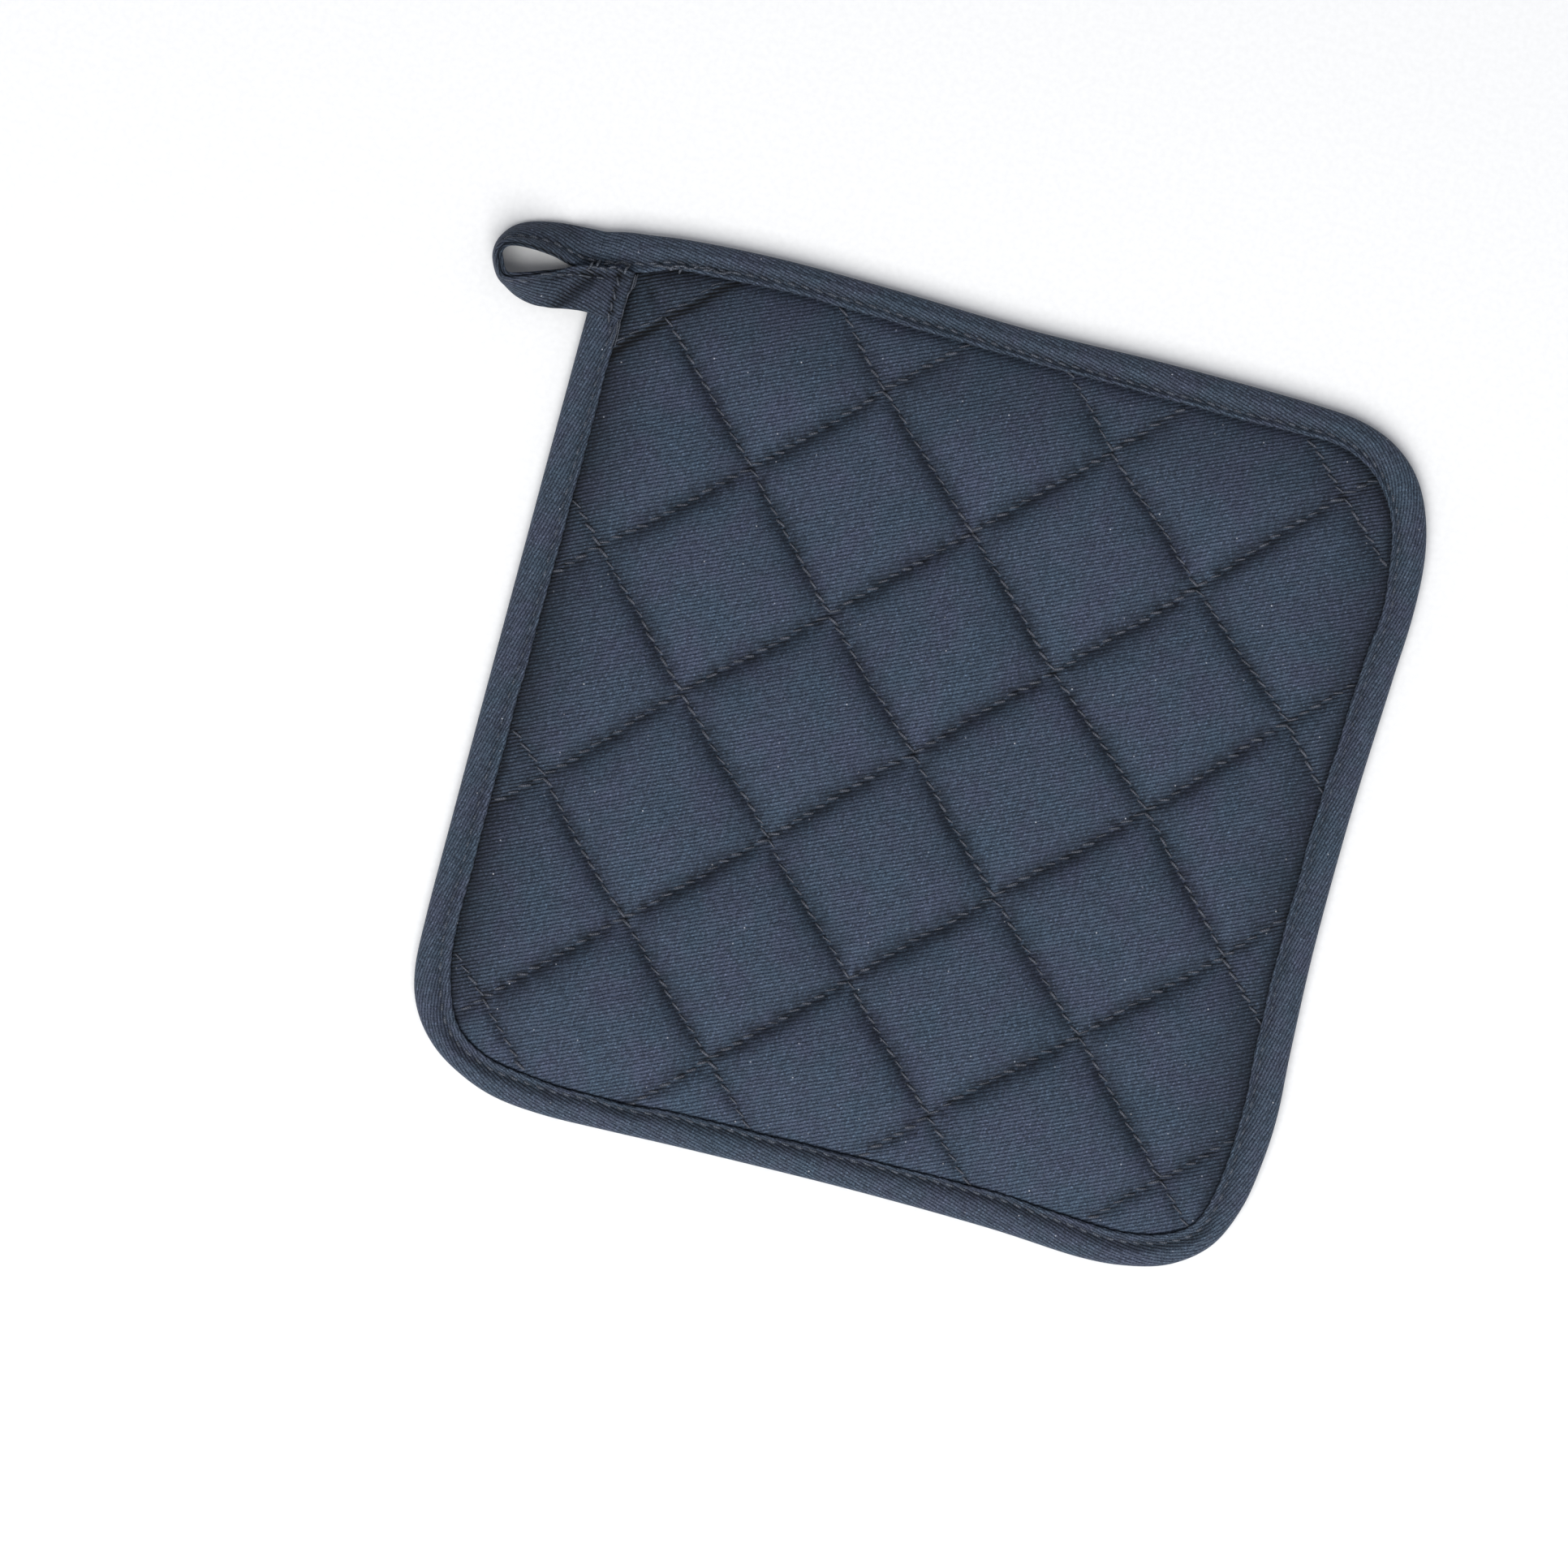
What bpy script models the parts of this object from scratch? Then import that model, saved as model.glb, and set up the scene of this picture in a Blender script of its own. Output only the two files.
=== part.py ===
"""Square pot holder: quilted front, plain back, bound edge and a hanging loop.

It lies flat with the quilted face up. X runs along the edge that carries the loop's
upper arm, Y points to that edge and the origin is the middle of the underside.
Tables are in millimetres, as a maker would measure the sewn piece, and are scaled
to metres where they are read.
"""

import math
from typing import NamedTuple

import bmesh
import bpy
from mathutils import Vector
from mathutils.geometry import delaunay_2d_cdt

MM = 0.001
UP = Vector((0, 0, 1))

# Cloth and tape
GAP = 0.3 * MM              # clearance between pieces that are sewn together
TAPE = 1.0 * MM             # folded binding tape, on each face of the pad
BACK_CLOTH = 1.0 * MM       # plain cloth of the underside
FRONT_EDGE = 1.2 * MM       # front cloth and wadding, pressed flat in the binding

# Levels of the stack at the bound edge, from the surface that it lies on
BACK_LEVEL = TAPE + GAP
FRONT_LEVEL = BACK_LEVEL + BACK_CLOTH + GAP
LAP_LEVEL = FRONT_LEVEL + FRONT_EDGE + GAP
BINDING_TOP = LAP_LEVEL + TAPE

# Section of the binding
NOSE = 1.7 * MM             # depth of the rounded fold at the outer edge
NOSE_STEPS = 6
WALL = 1.3 * MM             # tape at the fold, measured inward
CREST = 0.3 * MM            # the lap rises this much at its middle
SEAM_INSET = 1.5 * MM       # stitch line, measured from the lip
SEAM_WIDTH = 0.7 * MM       # from the stitch line to the full height of the lap
SEAM_DEPTH = 0.35 * MM
LIP_FLARE = 0.25 * MM       # the lip turns up beyond the stitch line

# Panels
PANEL_INSET = 1.8 * MM      # cut edge of both panels, measured from the fold
LAP_RING = 0.996            # ring just inside the lip, as a share of the lip's outline
SLOPE_RING = 0.985          # both panels start to drop here
FLAT_RING = 0.85            # and lie flat inside this one

# Quilting
DITCH_LEVEL = 5.0 * MM      # cloth at the stitch lines, well inside the binding
CROWN_LEVEL = 10.2 * MM     # middle of a padded square
PUFF_REACH = 4.4 * MM       # how quickly a square rises from its stitch line
EDGE_REACH = 7.0 * MM       # the same beside the binding, for squares and stitch lines
CROWN_VARIATION = 0.07      # share by which the squares differ in height
CROWN_TURNS = (2.1, 3.7)    # uneven steps, in radians, from square to square each way
CELL_STEPS = (0.0, 1.4, 3.4, 6.6, 11.8)  # mesh lines beside each stitch line, in mm
EDGE_CLEARANCE = 1.6 * MM   # mesh points keep this far from the lap ring
MERGE_DISTANCE = 0.001 * MM
INSIDE_ONLY = 1             # the triangulation leaves out what lies past the outline

# Hanging loop
LOOP_WIDTH = 9.6 * MM       # folded tape, free of the pad
LOOP_THICKNESS = 1.8 * MM

BINDING_STEPS = 2           # sections from one table row to the next
LOOP_STEPS = 3


class BindingRow(NamedTuple):
    """Plan position of the outer fold and of the inner lip."""

    fold_x: float
    fold_y: float
    lip_x: float
    lip_y: float


class QuiltLine(NamedTuple):
    """Stitch line: its offset across the pad and its drift for each mm along."""

    offset: float
    drift: float


class LoopRow(NamedTuple):
    """Plan position of the tape's folded edge and sewn edge, and the fold's height."""

    fold_x: float
    fold_y: float
    fold_z: float
    sewn_x: float
    sewn_y: float


class TapePoint(NamedTuple):
    """Share of the tape's width from its fold, and share of its half thickness."""

    across: float
    thickness: float


# Clockwise, seen from above
BINDING_ROWS = (
    BindingRow(-92.5, 101.9, -91.0, 93.3),
    BindingRow(-84.0, 103.0, -83.5, 95.4),
    BindingRow(-70.0, 103.9, -69.5, 96.2),
    BindingRow(-54.0, 104.2, -54.0, 96.9),
    BindingRow(-30.0, 103.7, -30.0, 96.2),
    BindingRow(0.0, 102.7, 0.0, 95.3),
    BindingRow(30.0, 103.1, 30.0, 94.9),
    BindingRow(54.0, 102.9, 53.0, 94.5),
    BindingRow(70.0, 102.4, 68.0, 94.9),
    BindingRow(80.0, 101.4, 76.5, 94.3),
    BindingRow(88.5, 98.3, 83.2, 91.8),
    BindingRow(95.3, 92.6, 88.6, 86.8),
    BindingRow(99.9, 84.3, 92.4, 81.3),
    BindingRow(102.5, 73.6, 94.5, 72.5),
    BindingRow(103.1, 60.0, 95.8, 60.0),
    BindingRow(102.2, 43.0, 94.5, 43.0),
    BindingRow(100.7, 12.0, 93.0, 12.0),
    BindingRow(100.2, -20.0, 92.3, -20.0),
    BindingRow(100.9, -45.0, 92.7, -44.0),
    BindingRow(101.7, -61.0, 93.6, -60.0),
    BindingRow(101.0, -73.0, 93.2, -72.0),
    BindingRow(99.0, -84.3, 91.9, -82.2),
    BindingRow(94.5, -94.2, 89.1, -90.1),
    BindingRow(86.7, -100.7, 83.6, -94.0),
    BindingRow(77.0, -103.8, 75.5, -96.3),
    BindingRow(64.5, -104.8, 64.5, -96.4),
    BindingRow(42.0, -103.5, 42.0, -95.0),
    BindingRow(8.0, -102.9, 8.0, -95.1),
    BindingRow(-30.0, -103.3, -30.0, -95.6),
    BindingRow(-50.0, -103.8, -50.0, -96.6),
    BindingRow(-65.0, -104.0, -64.0, -96.5),
    BindingRow(-77.0, -102.8, -74.5, -95.4),
    BindingRow(-86.5, -99.4, -81.8, -93.7),
    BindingRow(-94.2, -94.4, -87.6, -90.4),
    BindingRow(-99.8, -87.3, -92.1, -84.3),
    BindingRow(-102.6, -78.5, -94.8, -76.0),
    BindingRow(-103.2, -65.0, -95.8, -64.0),
    BindingRow(-103.1, -40.0, -95.8, -40.0),
    BindingRow(-102.8, 0.0, -95.3, 0.0),
    BindingRow(-102.4, 46.0, -94.7, 46.0),
    BindingRow(-102.1, 74.0, -94.6, 73.0),
    BindingRow(-102.0, 89.0, -94.5, 86.5),
    BindingRow(-101.8, 97.2, -94.3, 91.4),
    BindingRow(-100.9, 100.0, -93.8, 92.7),
    BindingRow(-98.2, 101.0, -92.9, 93.0),
)

# Lines that run down to the right, by x + y, and up to the right, by x - y
DOWN_LINES = (
    QuiltLine(-166.0, 0.0),
    QuiltLine(-112.4, -0.008),
    QuiltLine(-58.4, -0.0125),
    QuiltLine(-2.1, -0.0165),
    QuiltLine(52.3, 0.018),
    QuiltLine(107.9, 0.02),
    QuiltLine(162.0, 0.02),
)
UP_LINES = (
    QuiltLine(-169.0, 0.05),
    QuiltLine(-110.9, 0.035),
    QuiltLine(-56.6, 0.012),
    QuiltLine(-2.2, 0.0),
    QuiltLine(52.9, 0.013),
    QuiltLine(106.0, 0.02),
    QuiltLine(161.0, 0.0),
)

# From the top edge out to the far bend and back over the left edge
LOOP_ROWS = (
    LoopRow(-102.4, 100.1, 2.6, -102.4, 90.4),
    LoopRow(-107.5, 99.9, 2.4, -107.5, 90.3),
    LoopRow(-113.0, 99.5, 1.6, -112.6, 91.5),
    LoopRow(-118.8, 98.4, 1.0, -117.2, 92.0),
    LoopRow(-123.2, 96.4, 0.7, -121.3, 91.9),
    LoopRow(-125.7, 93.2, 0.5, -124.0, 91.1),
    LoopRow(-126.2, 89.8, 0.5, -125.2, 89.2),
    LoopRow(-125.5, 86.7, 0.5, -124.7, 87.2),
    LoopRow(-123.2, 83.4, 0.7, -122.6, 84.0),
    LoopRow(-119.5, 80.6, 1.2, -118.2, 85.1),
    LoopRow(-114.3, 79.3, 2.4, -113.1, 87.4),
    LoopRow(-108.2, 79.9, 5.0, -107.4, 89.8),
    LoopRow(-103.0, 80.4, 6.6, -102.4, 90.2),
    LoopRow(-97.8, 80.3, 6.7, -97.6, 90.2),
    LoopRow(-93.9, 80.2, 6.6, -93.7, 90.4),
)
TAPE_SECTION = (
    TapePoint(0.0, 0.0),
    TapePoint(0.04, 0.65),
    TapePoint(0.14, 1.0),
    TapePoint(0.5, 1.0),
    TapePoint(0.76, 0.95),
    TapePoint(0.84, 0.65),
    TapePoint(0.93, 0.85),
    TapePoint(1.0, 0.45),
)


def spline(before: float, start: float, end: float, after: float, share: float) -> float:
    """Value at a share of the way from start to end, on a smooth curve through all four."""
    slope_in = (end - before) / 2
    slope_out = (after - start) / 2
    bend = 3 * (end - start) - 2 * slope_in - slope_out
    twist = 2 * (start - end) + slope_in + slope_out
    return start + share * (slope_in + share * (bend + share * twist))


def smooth_rows(rows: tuple, steps: int, closed: bool) -> list:
    """Table rows with steps of smooth rows from each one to the next, in metres."""
    count = len(rows)
    row_type = type(rows[0])
    smoothed = []
    for index in range(count if closed else count - 1):
        around = [index - 1, index, index + 1, index + 2]
        if closed:
            around = [number % count for number in around]
        else:
            around = [min(max(number, 0), count - 1) for number in around]
        columns = list(zip(*(rows[number] for number in around)))
        for step in range(steps):
            values = [spline(*column, step / steps) * MM for column in columns]
            smoothed.append(row_type(*values))
    if not closed:
        smoothed.append(row_type(*(value * MM for value in rows[-1])))
    return smoothed


def ring_faces(mesh: bmesh.types.BMesh, first: list, second: list) -> None:
    """Joins two closed rings of the same number of vertices with quads."""
    for index, vertex in enumerate(first):
        following = (index + 1) % len(first)
        mesh.faces.new((vertex, first[following], second[following], second[index]))


def add_ring(mesh: bmesh.types.BMesh, points: list) -> list:
    """Adds one vertex for each point."""
    return [mesh.verts.new(point) for point in points]


def principled(name: str, colour: tuple, roughness: float) -> bpy.types.Material:
    """Plain cloth material."""
    material = bpy.data.materials.new(name)
    material.use_nodes = True
    shader = material.node_tree.nodes["Principled BSDF"]
    shader.inputs["Base Color"].default_value = (*colour, 1.0)
    shader.inputs["Roughness"].default_value = roughness
    shader.inputs["Metallic"].default_value = 0.0
    return material


def add_object(name: str, mesh: bmesh.types.BMesh, material: bpy.types.Material,
               collection: bpy.types.Collection) -> bpy.types.Object:
    """Turns a bmesh into a named object with outward faces."""
    bmesh.ops.recalc_face_normals(mesh, faces=mesh.faces)
    data = bpy.data.meshes.new(name)
    mesh.to_mesh(data)
    mesh.free()
    data.shade_smooth()
    data.set_sharp_from_angle(angle=math.radians(40))
    data.materials.append(material)
    piece = bpy.data.objects.new(name, data)
    collection.objects.link(piece)
    return piece


def fold_and_lip(row: BindingRow) -> tuple:
    """Fold and lip of one binding section as plan vectors."""
    return Vector((row.fold_x, row.fold_y, 0)), Vector((row.lip_x, row.lip_y, 0))


def scaled_ring(stations: list, scale: float, level: float) -> list:
    """Lip outline shrunk towards the middle of the pad, at one level."""
    return [Vector((row.lip_x * scale, row.lip_y * scale, level)) for row in stations]


def panel_ring(stations: list, level: float) -> list:
    """Cut edge of a panel, inside the binding's fold."""
    ring = []
    for row in stations:
        fold, lip = fold_and_lip(row)
        ring.append(fold + (lip - fold).normalized() * PANEL_INSET + UP * level)
    return ring


def binding_profile(width: float) -> list:
    """Tape round the pad's edge, as (distance in from the fold, height)."""
    middle = BINDING_TOP / 2
    profile = []
    for step in range(NOSE_STEPS + 1):
        angle = math.pi * (step / NOSE_STEPS - 0.5)
        profile.append((NOSE * (1 - math.cos(angle)), middle * (1 + math.sin(angle))))
    seam = width - SEAM_INSET
    profile += [
        (width / 2, BINDING_TOP + CREST),
        (seam - SEAM_WIDTH, BINDING_TOP),
        (seam, BINDING_TOP - SEAM_DEPTH),
        (seam + SEAM_WIDTH, BINDING_TOP + LIP_FLARE),
        (width, BINDING_TOP),
        (width, LAP_LEVEL + LIP_FLARE),
        (seam, LAP_LEVEL),
        (WALL, LAP_LEVEL),
        (WALL, TAPE),
        (width, TAPE),
        (width, 0.0),
    ]
    return profile


def build_binding(stations: list) -> bmesh.types.BMesh:
    """Tape folded over the edges of both panels, all the way round."""
    mesh = bmesh.new()
    rings = []
    for row in stations:
        fold, lip = fold_and_lip(row)
        inward = (lip - fold).normalized()
        profile = binding_profile((lip - fold).length)
        rings.append(add_ring(mesh, [fold + inward * reach + UP * height
                                     for reach, height in profile]))
    for index, ring in enumerate(rings):
        ring_faces(mesh, ring, rings[(index + 1) % len(rings)])
    return mesh


def add_dish(mesh: bmesh.types.BMesh, rim: list, stations: list, level: float) -> None:
    """Surface that hangs from a rim and lies flat in the middle, BACK_LEVEL lower."""
    slope = add_ring(mesh, scaled_ring(stations, SLOPE_RING, level))
    flat = add_ring(mesh, scaled_ring(stations, FLAT_RING, level - BACK_LEVEL))
    ring_faces(mesh, rim, slope)
    ring_faces(mesh, slope, flat)
    mesh.faces.new(flat)


def build_back(stations: list) -> bmesh.types.BMesh:
    """Plain cloth of the underside, level with the surface inside the binding."""
    mesh = bmesh.new()
    under = add_ring(mesh, panel_ring(stations, BACK_LEVEL))
    over = add_ring(mesh, panel_ring(stations, BACK_LEVEL + BACK_CLOTH))
    ring_faces(mesh, under, over)
    add_dish(mesh, under, stations, BACK_LEVEL)
    add_dish(mesh, over, stations, BACK_LEVEL + BACK_CLOTH)
    return mesh


def line_between(lines: tuple, position: float) -> QuiltLine:
    """Offset and drift, in mm, of the line at a fractional index of a family."""
    index = min(max(int(math.floor(position)), 0), len(lines) - 2)
    share = position - index
    low, high = lines[index], lines[index + 1]
    return QuiltLine(low.offset + share * (high.offset - low.offset),
                     low.drift + share * (high.drift - low.drift))


def quilt_point(down: QuiltLine, up: QuiltLine) -> Vector:
    """Where a line that runs down to the right meets one that runs up."""
    total = (down.offset + down.drift * up.offset) / (1 - down.drift * up.drift)
    difference = up.offset + up.drift * total
    return Vector(((total + difference) / 2, (total - difference) / 2)) * MM


def nearest_line(lines: tuple, across: float, along: float) -> float:
    """Distance to the nearest line of a family, with x + y and x - y in metres."""
    gaps = [abs(across - line.offset * MM - line.drift * along) for line in lines]
    return min(gaps) / math.sqrt(2)


def cell_number(lines: tuple, across: float, along: float) -> int:
    """Number of the family's lines that lie on one side of a point."""
    return sum(across > line.offset * MM + line.drift * along for line in lines)


def signed_depth(point: Vector, outline: list) -> float:
    """Distance to a closed outline, above zero inside it."""
    inside = False
    nearest = math.inf
    for index, start in enumerate(outline):
        end = outline[index - 1]
        span = end - start
        share = min(max((point - start).dot(span) / span.length_squared, 0.0), 1.0)
        nearest = min(nearest, (start + span * share - point).length)
        if (start.y > point.y) != (end.y > point.y):
            crossing = start.x + (point.y - start.y) * span.x / span.y
            inside ^= point.x < crossing
    return nearest if inside else -nearest


def quilt_height(point: Vector, depth: float) -> float:
    """Height of the quilted face at a plan point that is depth inside the lap."""
    total = point.x + point.y
    difference = point.x - point.y
    rise = 1 - math.exp(-nearest_line(DOWN_LINES, total, difference) / PUFF_REACH)
    rise *= 1 - math.exp(-nearest_line(UP_LINES, difference, total) / PUFF_REACH)
    row = cell_number(DOWN_LINES, total, difference)
    column = cell_number(UP_LINES, difference, total)
    turn = CROWN_TURNS[0] * row + CROWN_TURNS[1] * column
    rise *= 1 - CROWN_VARIATION * (1 + math.sin(turn)) / 2
    puffed = DITCH_LEVEL + (CROWN_LEVEL - DITCH_LEVEL) * rise
    held = math.exp(-max(depth, 0.0) / EDGE_REACH)
    return puffed + (FRONT_LEVEL + FRONT_EDGE - puffed) * held


def lattice_positions(lines: tuple) -> list:
    """Fractional indices of a family's mesh lines, close together at the stitches."""
    pitch = (lines[-1].offset - lines[0].offset) / (len(lines) - 1) / math.sqrt(2)
    shares = [step / pitch for step in CELL_STEPS]
    shares += [0.5] + [1 - share for share in reversed(shares[1:])]
    return [cell + share for cell in range(-1, len(lines)) for share in shares]


def quilt_lattice(outline: list) -> tuple:
    """Plan points of the quilted face inside an outline, and edges along the stitches."""
    downs = lattice_positions(DOWN_LINES)
    ups = lattice_positions(UP_LINES)
    points = []
    kept = {}
    for row, down in enumerate(downs):
        for column, up in enumerate(ups):
            point = quilt_point(line_between(DOWN_LINES, down), line_between(UP_LINES, up))
            if signed_depth(point, outline) > EDGE_CLEARANCE:
                kept[row, column] = len(points)
                points.append(point)
    edges = []
    for (row, column), number in kept.items():
        if downs[row] == round(downs[row]) and (row, column + 1) in kept:
            edges.append((number, kept[row, column + 1]))
        if ups[column] == round(ups[column]) and (row + 1, column) in kept:
            edges.append((number, kept[row + 1, column]))
    return points, edges


def loop_edges(first: int, count: int) -> list:
    """Edges of a closed loop of consecutive points."""
    return [(first + index, first + (index + 1) % count) for index in range(count)]


def build_front(stations: list) -> bmesh.types.BMesh:
    """Padded front: squares between stitch lines, pressed flat inside the binding."""
    edge_level = FRONT_LEVEL + FRONT_EDGE
    rim_points = panel_ring(stations, edge_level)
    lap_points = [point.xy for point in scaled_ring(stations, LAP_RING, edge_level)]
    quilt_points, quilt_edges = quilt_lattice(lap_points)
    count = len(stations)
    plan = [point.xy for point in rim_points] + lap_points + quilt_points
    edges = loop_edges(0, count) + loop_edges(count, count)
    edges += [(start + 2 * count, end + 2 * count) for start, end in quilt_edges]
    found, _, triangles, *_ = delaunay_2d_cdt(plan, edges, [], INSIDE_ONLY, MERGE_DISTANCE)

    mesh = bmesh.new()
    top = []
    for point in found:
        depth = signed_depth(point, lap_points)
        top.append(mesh.verts.new((point.x, point.y, quilt_height(point, depth))))
    for triangle in triangles:
        mesh.faces.new([top[number] for number in triangle])
    under = add_ring(mesh, panel_ring(stations, FRONT_LEVEL))
    ring_faces(mesh, top[:count], under)
    add_dish(mesh, under, stations, FRONT_LEVEL)
    return mesh


def tape_edges(row: LoopRow) -> tuple:
    """Folded and sewn edge of the loop's tape, which rises where it stands on edge."""
    fold = Vector((row.fold_x, row.fold_y, row.fold_z))
    sewn = Vector((row.sewn_x, row.sewn_y, row.fold_z))
    plan_width = (sewn - fold).length
    sewn.z += math.sqrt(max(LOOP_WIDTH ** 2 - plan_width ** 2, 0.0))
    return fold, sewn


def build_loop() -> bmesh.types.BMesh:
    """Tape that leaves the top edge, turns on edge and comes back over the left edge."""
    rows = smooth_rows(LOOP_ROWS, LOOP_STEPS, closed=False)
    pairs = [tape_edges(row) for row in rows]
    middles = [(fold + sewn) / 2 for fold, sewn in pairs]
    mesh = bmesh.new()
    rings = []
    for index, (fold, sewn) in enumerate(pairs):
        before = middles[max(index - 1, 0)]
        after = middles[min(index + 1, len(middles) - 1)]
        across = sewn - fold
        face = (after - before).cross(across).normalized() * LOOP_THICKNESS / 2
        upper = [fold + across * point.across + face * point.thickness
                 for point in TAPE_SECTION]
        lower = [fold + across * point.across - face * point.thickness
                 for point in reversed(TAPE_SECTION[1:])]
        rings.append(add_ring(mesh, upper + lower))
    for first, second in zip(rings, rings[1:]):
        ring_faces(mesh, first, second)
    mesh.faces.new(rings[0])
    mesh.faces.new(rings[-1])
    return mesh


def clear_scene() -> None:
    """Removes whatever the scene starts with."""
    for item in list(bpy.data.objects):
        bpy.data.objects.remove(item, do_unlink=True)


def main() -> None:
    """Builds the four pieces in their places."""
    clear_scene()
    collection = bpy.data.collections.new("pot_holder")
    bpy.context.scene.collection.children.link(collection)
    stations = smooth_rows(BINDING_ROWS, BINDING_STEPS, closed=True)
    navy = (0.055, 0.075, 0.11)
    deep_navy = (0.045, 0.058, 0.088)
    add_object("quilted_front", build_front(stations),
               principled("navy_twill_front", navy, 0.9), collection)
    add_object("back_panel", build_back(stations),
               principled("navy_twill_back", navy, 0.9), collection)
    add_object("binding", build_binding(stations),
               principled("navy_bias_tape", deep_navy, 0.88), collection)
    add_object("hanging_loop", build_loop(),
               principled("navy_loop_tape", deep_navy, 0.88), collection)


main()
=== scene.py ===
"""Looks of a quilted pot holder: navy twill, bias binding, sewing and hanging loop.

The pad lies on its plain back with the quilted face up. X runs along the edge that
carries the loop's upper arm, Y points to that edge, Z is up. Tables and sizes are in
millimetres, as measured on the sewn piece, and meshes are scaled to metres.
"""

import logging
import math
from dataclasses import dataclass, field
from enum import Enum
from functools import partial

import bpy
import numpy as np
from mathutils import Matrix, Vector


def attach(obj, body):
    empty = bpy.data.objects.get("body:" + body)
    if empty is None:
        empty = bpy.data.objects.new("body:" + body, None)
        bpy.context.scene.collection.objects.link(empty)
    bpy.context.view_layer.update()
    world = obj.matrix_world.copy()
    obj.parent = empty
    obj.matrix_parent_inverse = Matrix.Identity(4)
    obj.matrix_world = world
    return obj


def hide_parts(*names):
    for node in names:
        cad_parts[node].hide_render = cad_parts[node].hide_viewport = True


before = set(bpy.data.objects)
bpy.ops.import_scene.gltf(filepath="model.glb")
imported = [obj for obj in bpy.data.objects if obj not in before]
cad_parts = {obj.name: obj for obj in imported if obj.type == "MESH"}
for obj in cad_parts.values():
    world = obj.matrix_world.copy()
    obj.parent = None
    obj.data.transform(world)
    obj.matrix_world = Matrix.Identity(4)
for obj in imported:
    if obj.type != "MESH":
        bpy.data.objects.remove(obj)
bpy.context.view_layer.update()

MM = 0.001
LOG = logging.getLogger("pot_holder")

# Levels of the layers at the bound edge, in mm above the surface that they lie on
BACK_CLOTH = 1.0
LAYER_GAP = 0.3
FRONT_UNDERSIDE = 2.6
LIP_LEVEL = 3.2             # quilted cloth where it runs under the binding
BINDING_MIDDLE = 2.55       # half of the binding's thickness
PRESSED_LOSS = 1.65         # how much less that half is in the loop
COVERED_LOSS = 0.75         # and where the tape's start lies under the loop's end

# The binding bites into the pad along every edge but the lower one, across from the loop:
# its lip there, and how far above it the change takes
LOWER_LIP = -92.0
LOWER_REACH = 14.0

# The tape is full on the pad and flat in the loop: x of its fold where the change starts,
# and how far it takes
PRESS_START = -98.0
PRESS_REACH = 15.0

# Fold x and y, then lip x and y, clockwise from above
EDGE_ROWS = (
    (-92.5, 101.9, -91.0, 93.3), (-84.0, 103.0, -83.5, 95.4), (-70.0, 103.9, -69.5, 96.2),
    (-54.0, 104.2, -54.0, 96.9), (-30.0, 103.7, -30.0, 96.2), (0.0, 102.7, 0.0, 95.3),
    (30.0, 103.1, 30.0, 94.9), (54.0, 102.9, 53.0, 94.5), (70.0, 102.4, 68.0, 94.9),
    (80.0, 101.4, 76.5, 94.3), (88.5, 98.3, 83.2, 91.8), (95.3, 92.6, 88.6, 86.8),
    (99.9, 84.3, 92.4, 81.3), (102.5, 73.6, 94.5, 72.5), (103.1, 60.0, 95.8, 60.0),
    (102.2, 43.0, 94.5, 43.0), (100.7, 12.0, 93.0, 12.0), (100.2, -20.0, 92.3, -20.0),
    (100.9, -45.0, 92.7, -44.0), (101.7, -61.0, 93.6, -60.0), (101.0, -73.0, 93.2, -72.0),
    (99.0, -84.3, 91.9, -82.2), (94.5, -94.2, 89.1, -90.1), (86.7, -100.7, 83.6, -94.0),
    (77.0, -103.8, 75.5, -96.3), (64.5, -104.8, 64.5, -96.4), (42.0, -103.5, 42.0, -95.0),
    (8.0, -102.9, 8.0, -95.1), (-30.0, -103.3, -30.0, -95.6), (-50.0, -103.8, -50.0, -96.6),
    (-65.0, -104.0, -64.0, -96.5), (-77.0, -102.8, -74.5, -95.4), (-86.5, -99.4, -81.8, -93.7),
    (-94.2, -94.4, -87.6, -90.4), (-99.8, -87.3, -92.1, -84.3), (-102.6, -78.5, -94.8, -76.0),
    (-103.2, -65.0, -95.8, -64.0), (-103.1, -40.0, -95.8, -40.0), (-102.8, 0.0, -95.3, 0.0),
    (-102.4, 46.0, -94.7, 46.0), (-102.1, 74.0, -94.6, 73.0), (-102.0, 89.0, -94.5, 86.5),
    (-101.8, 97.2, -94.3, 91.4), (-100.9, 100.0, -93.8, 92.7), (-98.2, 101.0, -92.9, 93.0),
)

# The tape starts under the loop's end, goes round the pad against the clock and leaves
# the top corner straight, where the pad's own outline turns
TAPE_START_ROW = (-102.0, 93.0, -94.6, 93.6)
TAPE_LEFT_STOP = 42         # first row of the outline that the loop's end covers
TAPE_CORNER_ROWS = ((-97.4, 101.3, -96.6, 91.9), (-102.4, 100.1, -102.4, 90.4))

# Across the tape's stitch line: distance towards the lip, share of the groove's depth, and
# share of painted shade beside it
TAPE_GROOVE = (
    (-1.5, 0.0, 0.8), (-1.1, 0.2, 1.0), (-0.7, 0.55, 1.0), (-0.35, 0.88, 0.6),
    (0.0, 1.0, 0.3), (0.35, 0.8, 0.0), (0.7, 0.35, 0.0),
)

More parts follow.
